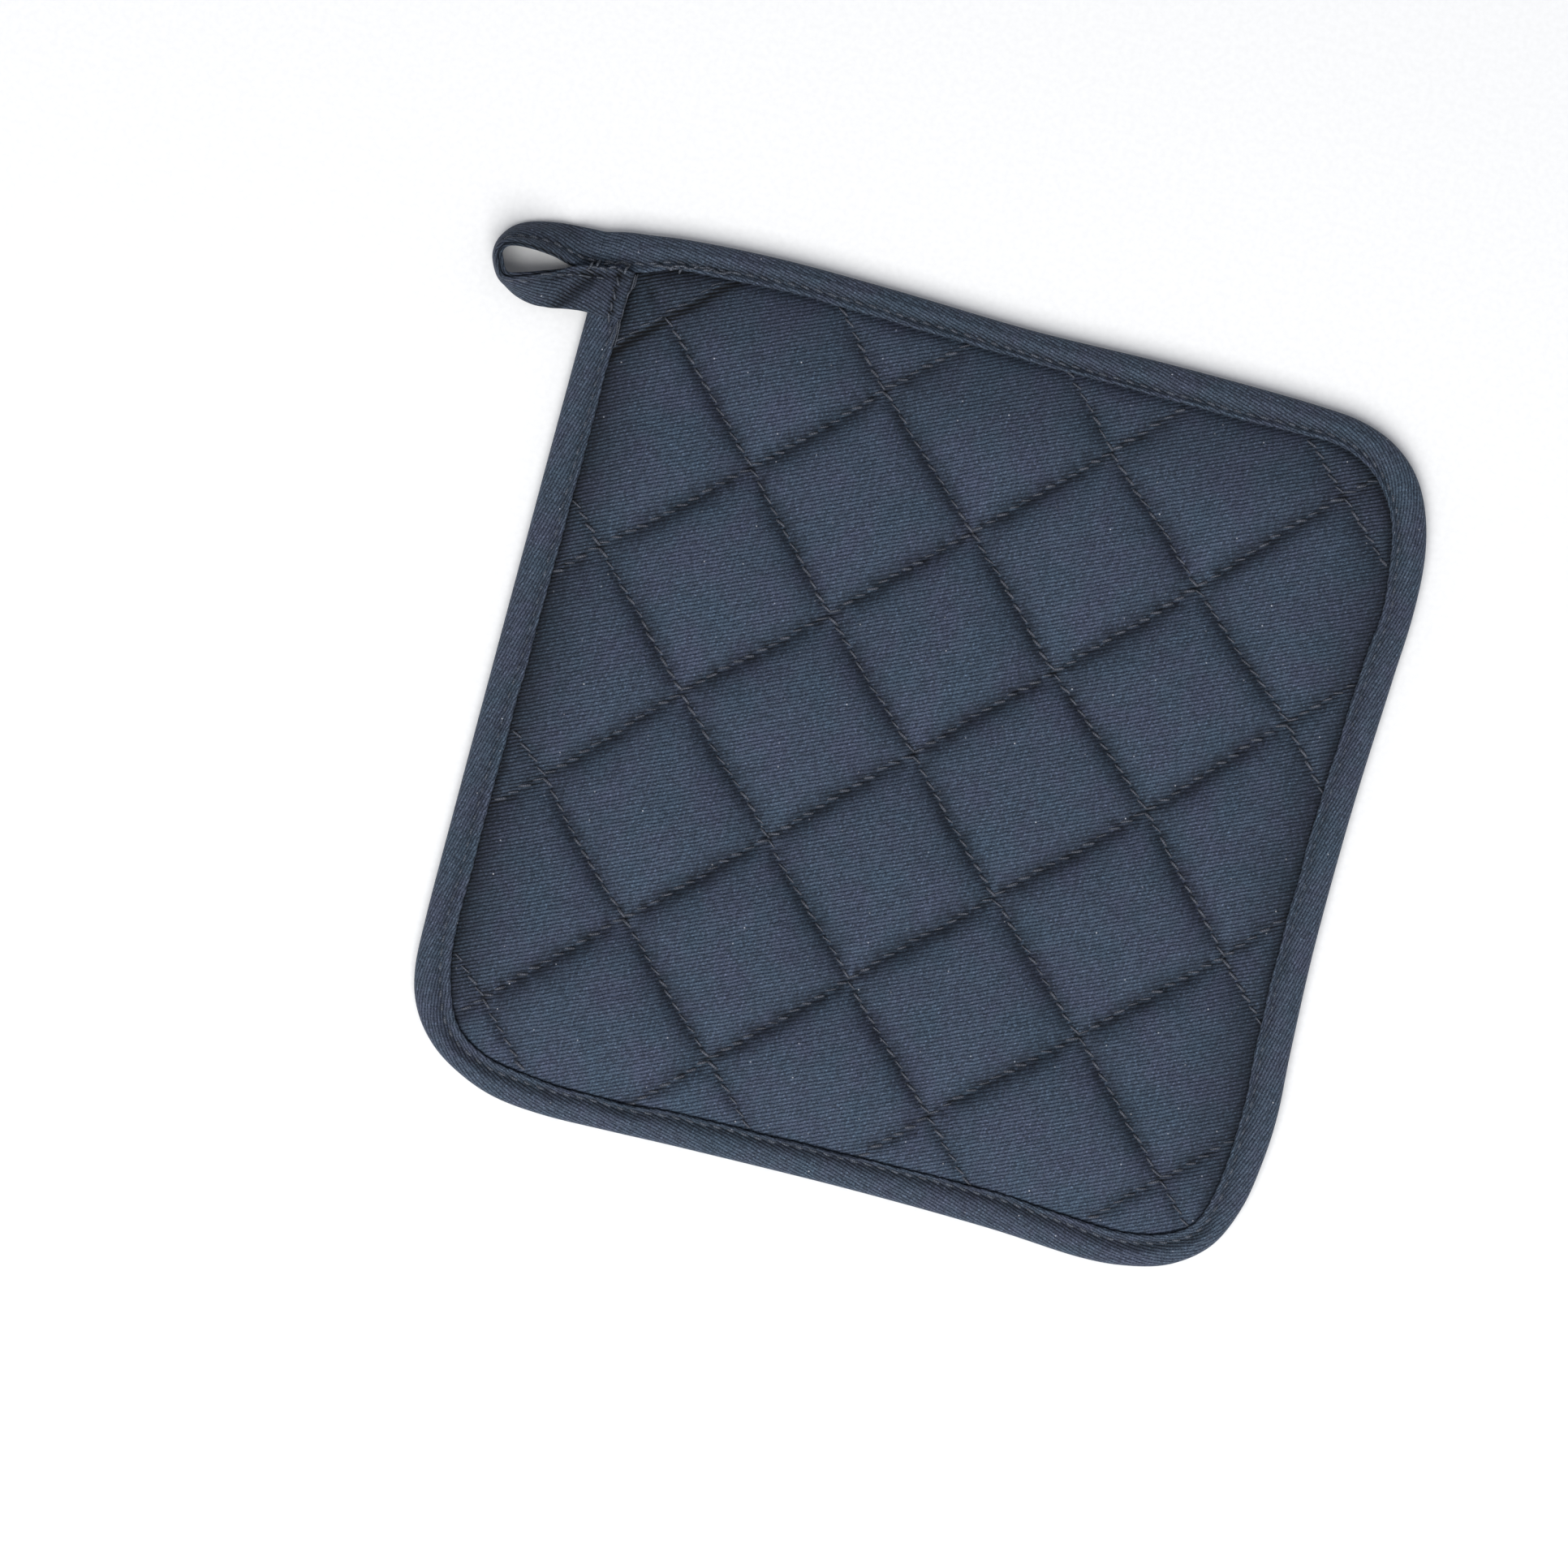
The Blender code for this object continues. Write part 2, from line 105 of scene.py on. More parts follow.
# Stitch line by the share of the tape's run round the pad: distance in from the lip, and
# how far the thread stands out of its groove
SEAM_ROWS = (
    (0.0, 1.7, -0.12), (0.06, 1.6, -0.12), (0.12, 1.5, -0.18), (0.15, 2.2, -0.2),
    (0.21, 2.6, -0.12), (0.25, 2.4, 0.08), (0.29, 1.2, 0.1), (0.36, 0.9, 0.06),
    (0.42, 1.0, 0.1), (0.46, 1.9, 0.12), (0.49, 1.9, 0.1), (0.53, 1.5, -0.14),
    (0.6, 1.7, -0.2), (0.68, 1.9, -0.18), (0.74, 1.5, 0.0), (0.78, 1.7, 0.14),
    (0.84, 1.4, 0.14), (0.93, 2.1, 0.14), (0.97, 1.6, 0.16), (1.0, 2.4, 0.16),
)

# Folded edge x, y and z, then sewn edge x and y, from the top edge round to the end
LOOP_ROWS = (
    (-102.4, 100.1, 2.6, -102.4, 90.4), (-107.5, 99.9, 2.4, -107.5, 90.3),
    (-113.0, 99.5, 1.6, -112.6, 91.5), (-118.8, 98.4, 1.0, -117.2, 92.0),
    (-123.2, 96.4, 0.7, -121.3, 91.9), (-125.7, 93.2, 0.5, -124.0, 91.1),
    (-126.2, 89.8, 0.5, -125.2, 89.2), (-125.5, 86.7, 0.5, -124.7, 87.2),
    (-123.2, 83.4, 0.7, -122.6, 84.0), (-119.5, 80.6, 1.2, -118.2, 85.1),
    (-114.3, 79.3, 2.4, -113.1, 87.4), (-108.2, 79.9, 5.0, -107.4, 90.2),
    (-103.0, 80.4, 6.7, -102.4, 91.4), (-97.8, 80.3, 6.9, -97.6, 92.0),
    (-93.9, 80.2, 6.8, -93.4, 92.2),
)
LOOP_WIDTH = 9.6

# Crossings of the quilting: line down to the right, line up to the right, x, y
CROSSINGS = (
    (0, 3, -85.3, -81.0), (1, 2, -84.8, -27.2), (1, 3, -58.3, -54.5), (1, 4, -30.7, -81.6),
    (2, 1, -85.3, 28.3), (2, 2, -58.2, 0.1), (2, 3, -30.3, -28.1), (2, 4, -3.8, -55.4),
    (2, 5, 22.2, -81.3), (3, 0, -84.0, 84.6), (3, 1, -55.5, 54.9), (3, 2, -29.5, 26.4),
    (3, 3, -2.6, -0.3), (3, 4, 24.4, -28.1), (3, 5, 51.7, -54.5), (3, 6, 78.8, -82.4),
    (4, 1, -29.9, 79.9), (4, 2, -1.8, 53.4), (4, 3, 24.8, 26.6), (4, 4, 53.9, 0.5),
    (4, 5, 79.9, -28.0), (5, 2, 25.5, 79.8), (5, 3, 52.5, 53.7), (5, 4, 80.4, 28.4),
    (6, 3, 80.2, 83.5),
)
LINE_COUNT = 7
CELL_SIDE = 38.4            # between neighbouring lines of a family
CORNER_FOLD = 168.9         # y less x where the corner line runs

# Thread and yarn at the loop's end: upper ends of the cross stitches, starts of the bar's
# stitches, then start and end of the others
CROSS_TOPS = (90.2, 86.7, 84.1, 81.5)
BAR_STARTS = ((-104.6, 90.2), (-103.4, 91.0), (-101.6, 91.2), (-101.0, 92.4),
              (-99.4, 91.6), (-98.6, 93.0), (-97.4, 92.0), (-96.2, 93.6))
STEEP_STITCHES = ((-104.2, 90.3, -103.5, 92.2), (-102.3, 91.4, -102.0, 93.3),
                  (-95.6, 91.2, -95.0, 93.9), (-85.6, 94.9, -85.2, 96.2),
                  (-83.4, 94.8, -83.0, 95.9))
LOWER_STITCHES = ((-114.5, 86.2, -112.0, 87.0), (-110.9, 87.2, -109.3, 87.6),
                  (-108.6, 87.8, -107.2, 88.1), (-106.0, 88.4, -103.0, 88.7),
                  (-101.7, 88.9, -100.0, 89.0))
LOOSE_YARNS = (              # start, end and thickness against the thread's
    ((-92.7, 92.2), (-93.5, 85.8), 0.8), ((-93.0, 91.8), (-93.8, 86.6), 0.7),
    ((-93.3, 88.0), (-93.9, 79.0), 0.45), ((-94.2, 80.6), (-94.4, 73.4), 0.6),
    ((-93.7, 80.0), (-93.7, 74.6), 0.6), ((-94.7, 79.5), (-95.0, 75.5), 0.5),
)

# Shader nodes and settings that come up again and again
MATH = "ShaderNodeMath"
VECTOR = "ShaderNodeVectorMath"
NOISE = "ShaderNodeTexNoise"
RAMP = "ShaderNodeValToRGB"
RANGE = "ShaderNodeMapRange"
SPLIT = "ShaderNodeSeparateXYZ"
BUMP = "ShaderNodeBump"
PLANE = {"noise_dimensions": "2D"}
TIMES = {"operation": "MULTIPLY"}
TIMES_PLUS = {"operation": "MULTIPLY_ADD"}
DOT = {"operation": "DOT_PRODUCT"}
POWER = {"operation": "POWER"}
COSINE = {"operation": "COSINE"}


class LineRun(Enum):
    """Which way a quilting line runs across the pad."""

    DOWN = "down to the right"
    UP = "up to the right"


class TapeFace(Enum):
    """Face of the folded tape, by the sign of its distance from the middle."""

    UPPER = 1
    UNDER = -1


def linear_colour(code: str) -> tuple[float, float, float, float]:
    """Turn an sRGB hex code into the linear colour that a shader takes.

    Args:
        code: six hex digits after a hash sign.

    Returns:
        Linear red, green, blue and an alpha of one.
    """
    values = [int(code[start:start + 2], 16) / 255 for start in (1, 3, 5)]
    linear = [value / 12.92 if value <= 0.04045 else ((value + 0.055) / 1.055) ** 2.4
              for value in values]
    return (*linear, 1.0)


def fill_sockets(node: bpy.types.Node, inputs: dict) -> None:
    """Set or link a node's inputs.

    Args:
        node: node of a material.
        inputs: by input name or number, its value, the socket that feeds it, or the
            node whose first output does.
    """
    for name, value in inputs.items():
        socket = node.inputs[name]
        value = value.outputs[0] if isinstance(value, bpy.types.Node) else value
        if isinstance(value, bpy.types.NodeSocket):
            node.id_data.links.new(value, socket)
        else:
            socket.default_value = value


def add_node(tree: bpy.types.NodeTree, kind: str, settings: dict | None = None,
             inputs: dict | None = None) -> bpy.types.Node:
    """Add a shader node with its settings, values and links.

    Args:
        tree: node tree of the material.
        kind: Blender's name of the node type.
        settings: attributes of the node; "stops" fills a colour ramp.
        inputs: what each input takes.

    Returns:
        The new node.
    """
    node = tree.nodes.new(kind)
    for name, value in (settings or {}).items():
        if name != "stops":
            setattr(node, name, value)
            continue
        elements = node.color_ramp.elements
        while len(elements) < len(value):
            elements.new(1.0)
        for element, (position, code) in zip(elements, value):
            element.position = position
            element.color = linear_colour(code)
    fill_sockets(node, inputs or {})
    return node


def new_material(name: str) -> tuple[bpy.types.Material, bpy.types.NodeTree, bpy.types.Node]:
    """Start a material: the material, its node tree and its Principled shader."""
    material = bpy.data.materials.new(name)
    material.use_nodes = True
    return material, material.node_tree, material.node_tree.nodes["Principled BSDF"]


def add_object(name: str, data: bpy.types.ID) -> bpy.types.Object:
    """Put a new object with this data in the scene."""
    thing = bpy.data.objects.new(name, data)
    bpy.context.scene.collection.objects.link(thing)
    return thing


@dataclass(frozen=True)
class Unevenness:
    """Smooth, repeatable waviness such as handled cloth has, about -1 to 1."""

    wavelength: float
    seed: int
    waves: int = 10

    def at(self, x: np.ndarray, y: np.ndarray | float = 0.0) -> np.ndarray:
        """Find the waviness at places.

        Args:
            x: plan position, or distance along a line, in mm.
            y: plan position across it.

        Returns:
            Waviness of each place.
        """
        draw = np.random.default_rng(self.seed)
        total = np.zeros(np.shape(x))
        for _ in range(self.waves):
            turn, phase = draw.uniform(0, math.tau, 2)
            length = self.wavelength * draw.uniform(0.7, 1.7)
            ahead = x * math.cos(turn) + y * math.sin(turn)
            total += np.sin(math.tau * ahead / length + phase)
        return total / math.sqrt(self.waves)


def smooth_rows(rows: np.ndarray, steps: int, closed: bool) -> np.ndarray:
    """Run a smooth curve through table rows.

    Args:
        rows: one row for each measured place.
        steps: rows wanted from one measured place to the next.
        closed: whether the last row leads back to the first.

    Returns:
        The denser rows.
    """
    count = len(rows)
    starts = np.arange(count if closed else count - 1)
    around = [starts + shift for shift in (-1, 0, 1, 2)]
    around = [number % count if closed else np.clip(number, 0, count - 1) for number in around]
    before, start, end, after = (rows[number][:, None, :] for number in around)
    share = (np.arange(steps) / steps)[None, :, None]
    slope_in, slope_out = (end - before) / 2, (after - start) / 2
    bend = 3 * (end - start) - 2 * slope_in - slope_out
    twist = 2 * (start - end) + slope_in + slope_out
    dense = start + share * (slope_in + share * (bend + share * twist))
    dense = dense.reshape(-1, rows.shape[1])
    return dense if closed else np.vstack([dense, rows[-1:]])


def rows_at(rows: np.ndarray, travel: np.ndarray, wanted: np.ndarray) -> np.ndarray:
    """Rows at the wanted distances, from rows whose distances are known."""
    return np.column_stack([np.interp(wanted, travel, column) for column in rows.T])


def even_rows(rows: np.ndarray, places: np.ndarray, step: float) -> np.ndarray:
    """Space rows evenly along the path that their places make.

    Args:
        rows: dense rows.
        places: position of each row.
        step: spacing wanted, in mm.

    Returns:
        Rows that lie about one step apart.
    """
    travel = run_length(places)
    count = max(int(round(travel[-1] / step)), 2) + 1
    return rows_at(rows, travel, np.linspace(0, travel[-1], count))


def run_length(places: np.ndarray) -> np.ndarray:
    """Distance travelled up to each place of a path, the last axis but one."""
    hops = np.linalg.norm(np.diff(places, axis=-2), axis=-1)
    return np.cumsum(np.pad(hops, [(0, 0)] * (hops.ndim - 1) + [(1, 0)]), axis=-1)


def unit(vectors: np.ndarray) -> np.ndarray:
    """Vectors scaled to a length of one."""
    return vectors / np.maximum(np.linalg.norm(vectors, axis=-1, keepdims=True), 1e-9)


def bell(distance: np.ndarray, reach: float) -> np.ndarray:
    """Soft bump that is 1 at no distance and fades over the reach."""
    return np.exp(-(distance / reach) ** 2)


def ease(value: np.ndarray) -> np.ndarray:
    """Smooth change from 0 to 1 as the value goes from 0 to 1."""
    value = np.clip(value, 0.0, 1.0)
    return value * value * (3 - 2 * value)


def bite(y: np.ndarray) -> np.ndarray:
    """How hard the binding bites: 0 on the lower edge, 1 further up."""
    return ease((y - LOWER_LIP) / LOWER_REACH)


def pressed(x: np.ndarray) -> np.ndarray:
    """How flat the tape is pressed: 0 on the pad, 1 where the loop hangs free."""
    return ease((PRESS_START - x) / PRESS_REACH)


def pull_of(travel: np.ndarray, pitch: float) -> np.ndarray:
    """How near a place is to a needle hole: 1 at a hole, 0 halfway to the next."""
    return 0.5 + 0.5 * np.cos(math.tau * travel / pitch)


def line_distance(x: np.ndarray, y: np.ndarray, start: tuple, end: tuple) -> np.ndarray:
    """Distance from plan points to a straight stretch.

    Args:
        x: position of the points.
        y: position of the points.
        start: one end of the stretch.
        end: its other end.

    Returns:
        Distances in mm.
    """
    span = np.subtract(end, start)
    share = ((x - start[0]) * span[0] + (y - start[1]) * span[1]) / (span @ span)
    share = np.clip(share, 0.0, 1.0)
    return np.hypot(x - start[0] - share * span[0], y - start[1] - share * span[1])


# A quad's corners the other way round, from the same corner on
TURNED = [0, 3, 2, 1]


def ring_quads(number: np.ndarray) -> np.ndarray:
    """Quads between neighbouring closed rings of vertices, numbered along the last axis."""
    after = np.roll(number, -1, axis=-1)
    return np.stack([number[..., :-1, :], after[..., :-1, :], after[..., 1:, :],
                     number[..., 1:, :]], -1)


def make_piece(name: str, points: np.ndarray, faces: list, weave: np.ndarray,
               material: bpy.types.Material, sharp: np.ndarray | None = None
               ) -> bpy.types.Object:
    """Make a smooth-shaded object that carries its yarn directions.

    Args:
        name: name of the object.
        points: vertex positions in mm.
        faces: vertex numbers of each face.
        weave: position in mm on the flat cloth, and the share of painted shade, by vertex.
        material: finish of the whole piece.
        sharp: vertices whose shared edges stay crisp.

    Returns:
        The object, linked to the scene and riding on the pot holder.
    """
    mesh = bpy.data.meshes.new(name)
    mesh.from_pydata((points * MM).tolist(), [], faces)
    mesh.shade_smooth()
    laid = mesh.attributes.new("weave", "FLOAT_VECTOR", "POINT")
    laid.data.foreach_set("vector", np.ascontiguousarray(weave, dtype=np.float32).ravel())
    if sharp is not None:
        ends = np.zeros(len(mesh.edges) * 2, dtype=np.int32)
        mesh.edges.foreach_get("vertices", ends)
        crisp = sharp[ends.reshape(-1, 2)].all(axis=1)
        mesh.edges.foreach_set("use_edge_sharp", crisp)
    mesh.materials.append(material)
    mesh.validate()
    piece = add_object(name, mesh)
    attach(piece, "root")
    return piece


@dataclass(frozen=True)
class TwillWeave:
    """Lattice of a twill: how often wales and picks repeat along each yarn axis.

    Both are cycles per mm along and across the piece. Warp floats lie on top where
    both counts are whole, and pinholes halfway between them.
    """

    wale: tuple[float, float]
    pick: tuple[float, float]
    relief: float = 0.12

    def lean(self) -> float:
        """Angle of the wales against the piece's first axis, in radians."""
        return math.atan2(-self.wale[0], self.wale[1])


@dataclass(frozen=True)
class CottonTwill:
    """Piece-dyed cotton drill, woven 3/1: diagonal rows of small floats.

    Matte yarn with dark pinholes between the floats, uneven dye that drifts from
    slate blue to a little purple or teal, and a faint fuzz that lightens it at
    grazing angles.
    """

    name: str
    weave: TwillWeave
    hollow: str = "#1A2336"
    flank: str = "#313D4E"
    float_top: str = "#4B5768"
    cool: str = "#E4EEED"
    warm: str = "#F3E8EE"
    painted_tilt_shade: float = 0.0

    def material(self) -> bpy.types.Material:
        """Build the cloth's node tree.

        Returns:
            The material, which reads each piece's weave attribute.
        """
        material, tree, shader = new_material(self.name)
        add = partial(add_node, tree)
        place = add("ShaderNodeAttribute", {"attribute_name": "weave"}).outputs["Vector"]
        # Yarns wander by a tenth of a millimetre over 8 mm
        wander = add(NOISE, PLANE, {"Vector": place, "Scale": 0.13, "Detail": 4.0,
                                    "Roughness": 0.7}).outputs["Color"]
        shift = add(VECTOR, TIMES_PLUS, {0: wander, 1: (0.6, 0.6, 0.0), 2: (-0.3, -0.3, 0.0)})
        laid = add(VECTOR, {"operation": "ADD"}, {0: place, 1: shift})
        # Rows of pinholes: deep where a pick's edge crosses the groove between wales
        whole, sunk = [], []
        for rate in (self.weave.wale, self.weave.pick):
            count = add(VECTOR, DOT, {0: laid, 1: (*rate, 0.0)}).outputs["Value"]
            whole.append(add(MATH, {"operation": "ROUND"}, {0: count}))
            wave = add(MATH, COSINE, {0: add(MATH, TIMES, {0: count, 1: math.tau})})
            sunk.append(add(MATH, TIMES_PLUS, {0: wave, 1: -0.5, 2: 0.5}))
        groove = add(MATH, POWER, {0: sunk[0], 1: 2.1})
        pin = add(MATH, TIMES_PLUS, {0: sunk[1], 1: 0.5, 2: 0.5})
        # The grooves close up and open again within a millimetre or two
        patch = add(NOISE, PLANE, {"Vector": place, "Scale": 0.8, "Detail": 3.0,
                                   "Roughness": 0.7})
        fleck = add(SPLIT, None, {0: patch.outputs["Color"]}).outputs["Y"]
        hole = groove
        for share in (pin, add(MATH, TIMES_PLUS, {0: patch, 1: 1.3, 2: 0.2})):
            hole = add(MATH, TIMES, {0: hole, 1: share})
        level = add(MATH, {"operation": "SUBTRACT"}, {0: 1.0, 1: hole})
        cell = add("ShaderNodeCombineXYZ", None, {0: whole[0], 1: whole[1]})
        chance = add("ShaderNodeTexWhiteNoise", PLANE, {"Vector": cell}).outputs["Value"]
        # Loose fibres along the wales, 0.2 mm wide and three times as long: real ones are
        # 0.02 mm wide, too fine to show
        drawn = add("ShaderNodeMapping", {"vector_type": "TEXTURE"},
                    {"Vector": laid, "Rotation": (0.0, 0.0, self.weave.lean()),
                     "Scale": (0.6, 0.2, 1.0)})
        fibre = add(NOISE, PLANE, {"Vector": drawn, "Scale": 1.0, "Detail": 2.0})
        # The few that stand clear of a float get a painted highlight
        painted_glint = add(RANGE, None, {"Value": fibre, "From Min": 0.6, "From Max": 0.85,
                                  "To Max": 2.0})
        # Painted shade darkens the weave's pinholes and grooves against the float tops;
        # dye uptake varies from float to float, in flecks and in clouds of some 12 mm
        weave_shaded = add(RAMP, {"stops": ((0.1, self.hollow), (0.6, self.flank),
                                    (1.0, self.float_top))}, {0: level})
        cloud = add(NOISE, PLANE, {"Vector": place, "Scale": 0.08, "Detail": 5.0,
                                   "Roughness": 0.6})
        drift = add(MATH, TIMES_PLUS, {0: fleck, 1: 0.2, 2: cloud})
        tint = add(RAMP, {"stops": ((0.44, self.cool), (0.6, "#EEEEEE"), (0.76, self.warm))},
                   {0: drift})
        tinted = add(VECTOR, TIMES, {0: weave_shaded, 1: tint})
        lit = -0.01
        for value, share in ((chance, 0.4), (fibre, 1.15), (painted_glint, level), (patch, 0.22)):
            lit = add(MATH, TIMES_PLUS, {0: value, 1: share, 2: lit})
        # Painted shade where the cloth tips to the side, for the dimmer light that fibres
        # lying along X send up
        facing = add("ShaderNodeTexCoord").outputs["Normal"]
        tip = add(VECTOR, DOT, {0: facing, 1: (1.0, 0.0, 0.0)}).outputs["Value"]
        squared = add(MATH, TIMES, {0: tip, 1: tip})
        kept = add(RANGE, None, {"Value": squared, "From Max": 0.4, "To Min": 1.0,
                                 "To Max": 1.0 - 0.4 * self.painted_tilt_shade})
        # Painted shade from the third value of the weave attribute, deepest in the grooves
        # between the wales
        shade_share = add(SPLIT, None, {0: place}).outputs["Z"]
        deeper = add(MATH, TIMES_PLUS, {0: groove, 1: -0.6, 2: -0.64})
        unshaded = add(MATH, {**TIMES_PLUS, "use_clamp": True}, {0: shade_share, 1: deeper, 2: 1.0})
        for share in (kept, unshaded):
            lit = add(MATH, TIMES, {0: lit, 1: share})
        colour = add(VECTOR, {"operation": "SCALE"}, {0: tinted, "Scale": lit})
        # Specks of lint, some 10 mm apart and up to 0.4 mm across, most of them faint
        lint = add("ShaderNodeTexVoronoi", {"voronoi_dimensions": "2D"},
                   {"Vector": place, "Scale": 0.1})
        near = add(RANGE, None, {"Value": lint.outputs["Distance"], "From Min": 0.01,
                                 "From Max": 0.022, "To Min": 1.0, "To Max": 0.0})
        strength = add(SPLIT, None, {0: lint.outputs["Color"]}).outputs["X"]
        speck = add(MATH, TIMES, {0: near, 1: add(MATH, POWER, {0: strength, 1: 3.0})})
        colour = add(VECTOR, TIMES_PLUS, {0: speck, 1: (0.42, 0.42, 0.44), 2: colour})
        raised = level
        for value, share in ((fibre, 0.7), (chance, 0.25)):
            raised = add(MATH, TIMES_PLUS, {0: value, 1: share, 2: raised})
        fill_sockets(shader, {
            "Base Color": colour,
            "Roughness": add(RANGE, None, {"Value": level, "To Min": 0.98, "To Max": 0.84}),
            "Normal": add(BUMP, None, {"Height": raised, "Strength": 1.0,
                                       "Distance": self.weave.relief * MM}),
            "IOR": 1.5, "Specular IOR Level": 0.25, "Sheen Weight": 0.12,
            "Sheen Roughness": 0.5, "Sheen Tint": linear_colour("#B8C4DC"),
        })
        return material


@dataclass(frozen=True)
class SpunThread:
    """Spun polyester sewing thread, three plies twisted together.

    It has a soft lustre that the cotton lacks and a paler colour, and the plies
    wind round it as a fine screw of painted highlight and shade.
    """

    name: str
    shade: str = "#252A34"
    lustre: str = "#5C606B"
    winding: float = 0.45        # mm of thread for one turn

    def material(self) -> bpy.types.Material:
        """Build the thread's node tree.

        Returns:
            The material, which reads the distance along and round the thread.
        """
        material, tree, shader = new_material(self.name)
        add = partial(add_node, tree)
        place = add("ShaderNodeAttribute", {"attribute_name": "weave"}).outputs["Vector"]
        # The plies' screw is painted into the colour as highlight and shade; the patches are
        # the thread's own uneven tone
        turn = add(VECTOR, DOT, {0: place, 1: (math.tau / self.winding, 1.0, 0.0)})
        ply = add(MATH, COSINE, {0: turn.outputs["Value"]})
        patch = add(NOISE, PLANE, {"Vector": place, "Scale": 0.7, "Detail": 3.0,
                                   "Roughness": 0.7})
        mixed = add(MATH, TIMES_PLUS, {0: ply, 1: 0.11, 2: patch})
        fill_sockets(shader, {
            "Base Color": add(RAMP, {"stops": ((0.34, self.shade), (0.7, self.lustre))},
                              {0: mixed}),
            "Normal": add(BUMP, None, {"Height": ply, "Distance": 0.025 * MM,
                                       "Strength": 1.0}),
            "Roughness": 0.62, "Specular IOR Level": 0.4, "Sheen Weight": 0.15,
        })
        return material


@dataclass(frozen=True)
class PaperSweep:
    """Matte white background paper, with the faint mottle of its pulp."""

    name: str = "matte_background_paper"
    light: str = "#F7F7F6"
    dark: str = "#F3F3F2"

    def material(self) -> bpy.types.Material:
        """Build the paper's node tree.

        Returns:
            The material, whose mottle follows the paper's own position.
        """
        material, tree, shader = new_material(self.name)
        place = add_node(tree, "ShaderNodeTexCoord").outputs["Object"]
        pulp = add_node(tree, NOISE, None, {"Vector": place, "Scale": 700.0, "Detail": 3.0})
        colour = add_node(tree, RAMP, {"stops": ((0.35, self.dark), (0.65, self.light))},
                          {0: pulp})
        fill_sockets(shader, {"Base Color": colour, "Roughness": 0.95,
                              "Specular IOR Level": 0.1})
        return material


# Ends 0.24 mm apart and picks 0.58 mm apart; wales climb to the right at 24.5 degrees
PANEL_WEAVE = TwillWeave(wale=(-0.48, 1.05), pick=(1.73, -0.05))
# The tape is cut on the bias, so its wales lean 17 degrees from its length
TAPE_WEAVE = TwillWeave(wale=(0.38, 1.22), pick=(-1.5, 0.28), relief=0.11)

FRONT_TWILL = CottonTwill("woven_cotton_twill_front", PANEL_WEAVE, painted_tilt_shade=0.9)
BACK_TWILL = CottonTwill("woven_cotton_twill_back", PANEL_WEAVE)
BINDING_TWILL, LOOP_TWILL = (
    CottonTwill(name, TAPE_WEAVE, hollow="#1C2536", flank="#343E4D", float_top="#4D5867")
    for name in ("bias_cut_twill_binding", "bias_cut_twill_loop"))
QUILTING_THREAD = SpunThread("spun_polyester_quilting_thread")
BINDING_THREAD = SpunThread("spun_polyester_binding_thread", shade="#292F39",
                            lustre="#5B616C")


class PadOutline:
    """Plan of the pad inside the binding, by the binding's inner lip."""

    def __init__(self) -> None:
        """Smooth the measured rows into one dense outline."""
        self.lip = smooth_rows(np.array(EDGE_ROWS), 4, closed=True)[:, 2:]

    def depth(self, places: np.ndarray) -> tuple[np.ndarray, np.ndarray]:
        """Measure how far inside the lip plan points lie.

        Args:
            places: plan positions, one row each.

        Returns:
            Distance to the lip, above zero inside it, and distance along the lip.
        """
        nearest = np.full(len(places), np.inf)
        along = np.zeros(len(places))
        inside = np.zeros(len(places), dtype=bool)
        ends = np.roll(self.lip, -1, axis=0)
        travelled = 0.0
        for start, end in zip(self.lip, ends):
            span = end - start
            length = math.hypot(*span)
            offset = places - start
            share = np.clip(offset @ span / (span @ span), 0.0, 1.0)
            gap = np.hypot(offset[:, 0] - share * span[0], offset[:, 1] - share * span[1])
            closer = gap < nearest
            nearest[closer] = gap[closer]
            along[closer] = travelled + share[closer] * length
            if span[1]:
                crossed = (start[1] > places[:, 1]) != (end[1] > places[:, 1])
                reach = start[0] + (places[:, 1] - start[1]) * span[0] / span[1]
                inside ^= crossed & (places[:, 0] < reach)
            travelled += length
        return np.where(inside, nearest, -nearest), along


@dataclass
class FacePlaces:
    """Places on the quilted face, as arrays of one shape.

    Line numbers are fractional: down counts the lines that run down to the right, and
    up those that run up to the right. Then come the plan position, how far inside the
    lip it lies and how far round the lip, in mm.
    """

    down: np.ndarray
    up: np.ndarray
    x: np.ndarray
    y: np.ndarray
    depth: np.ndarray
    along: np.ndarray


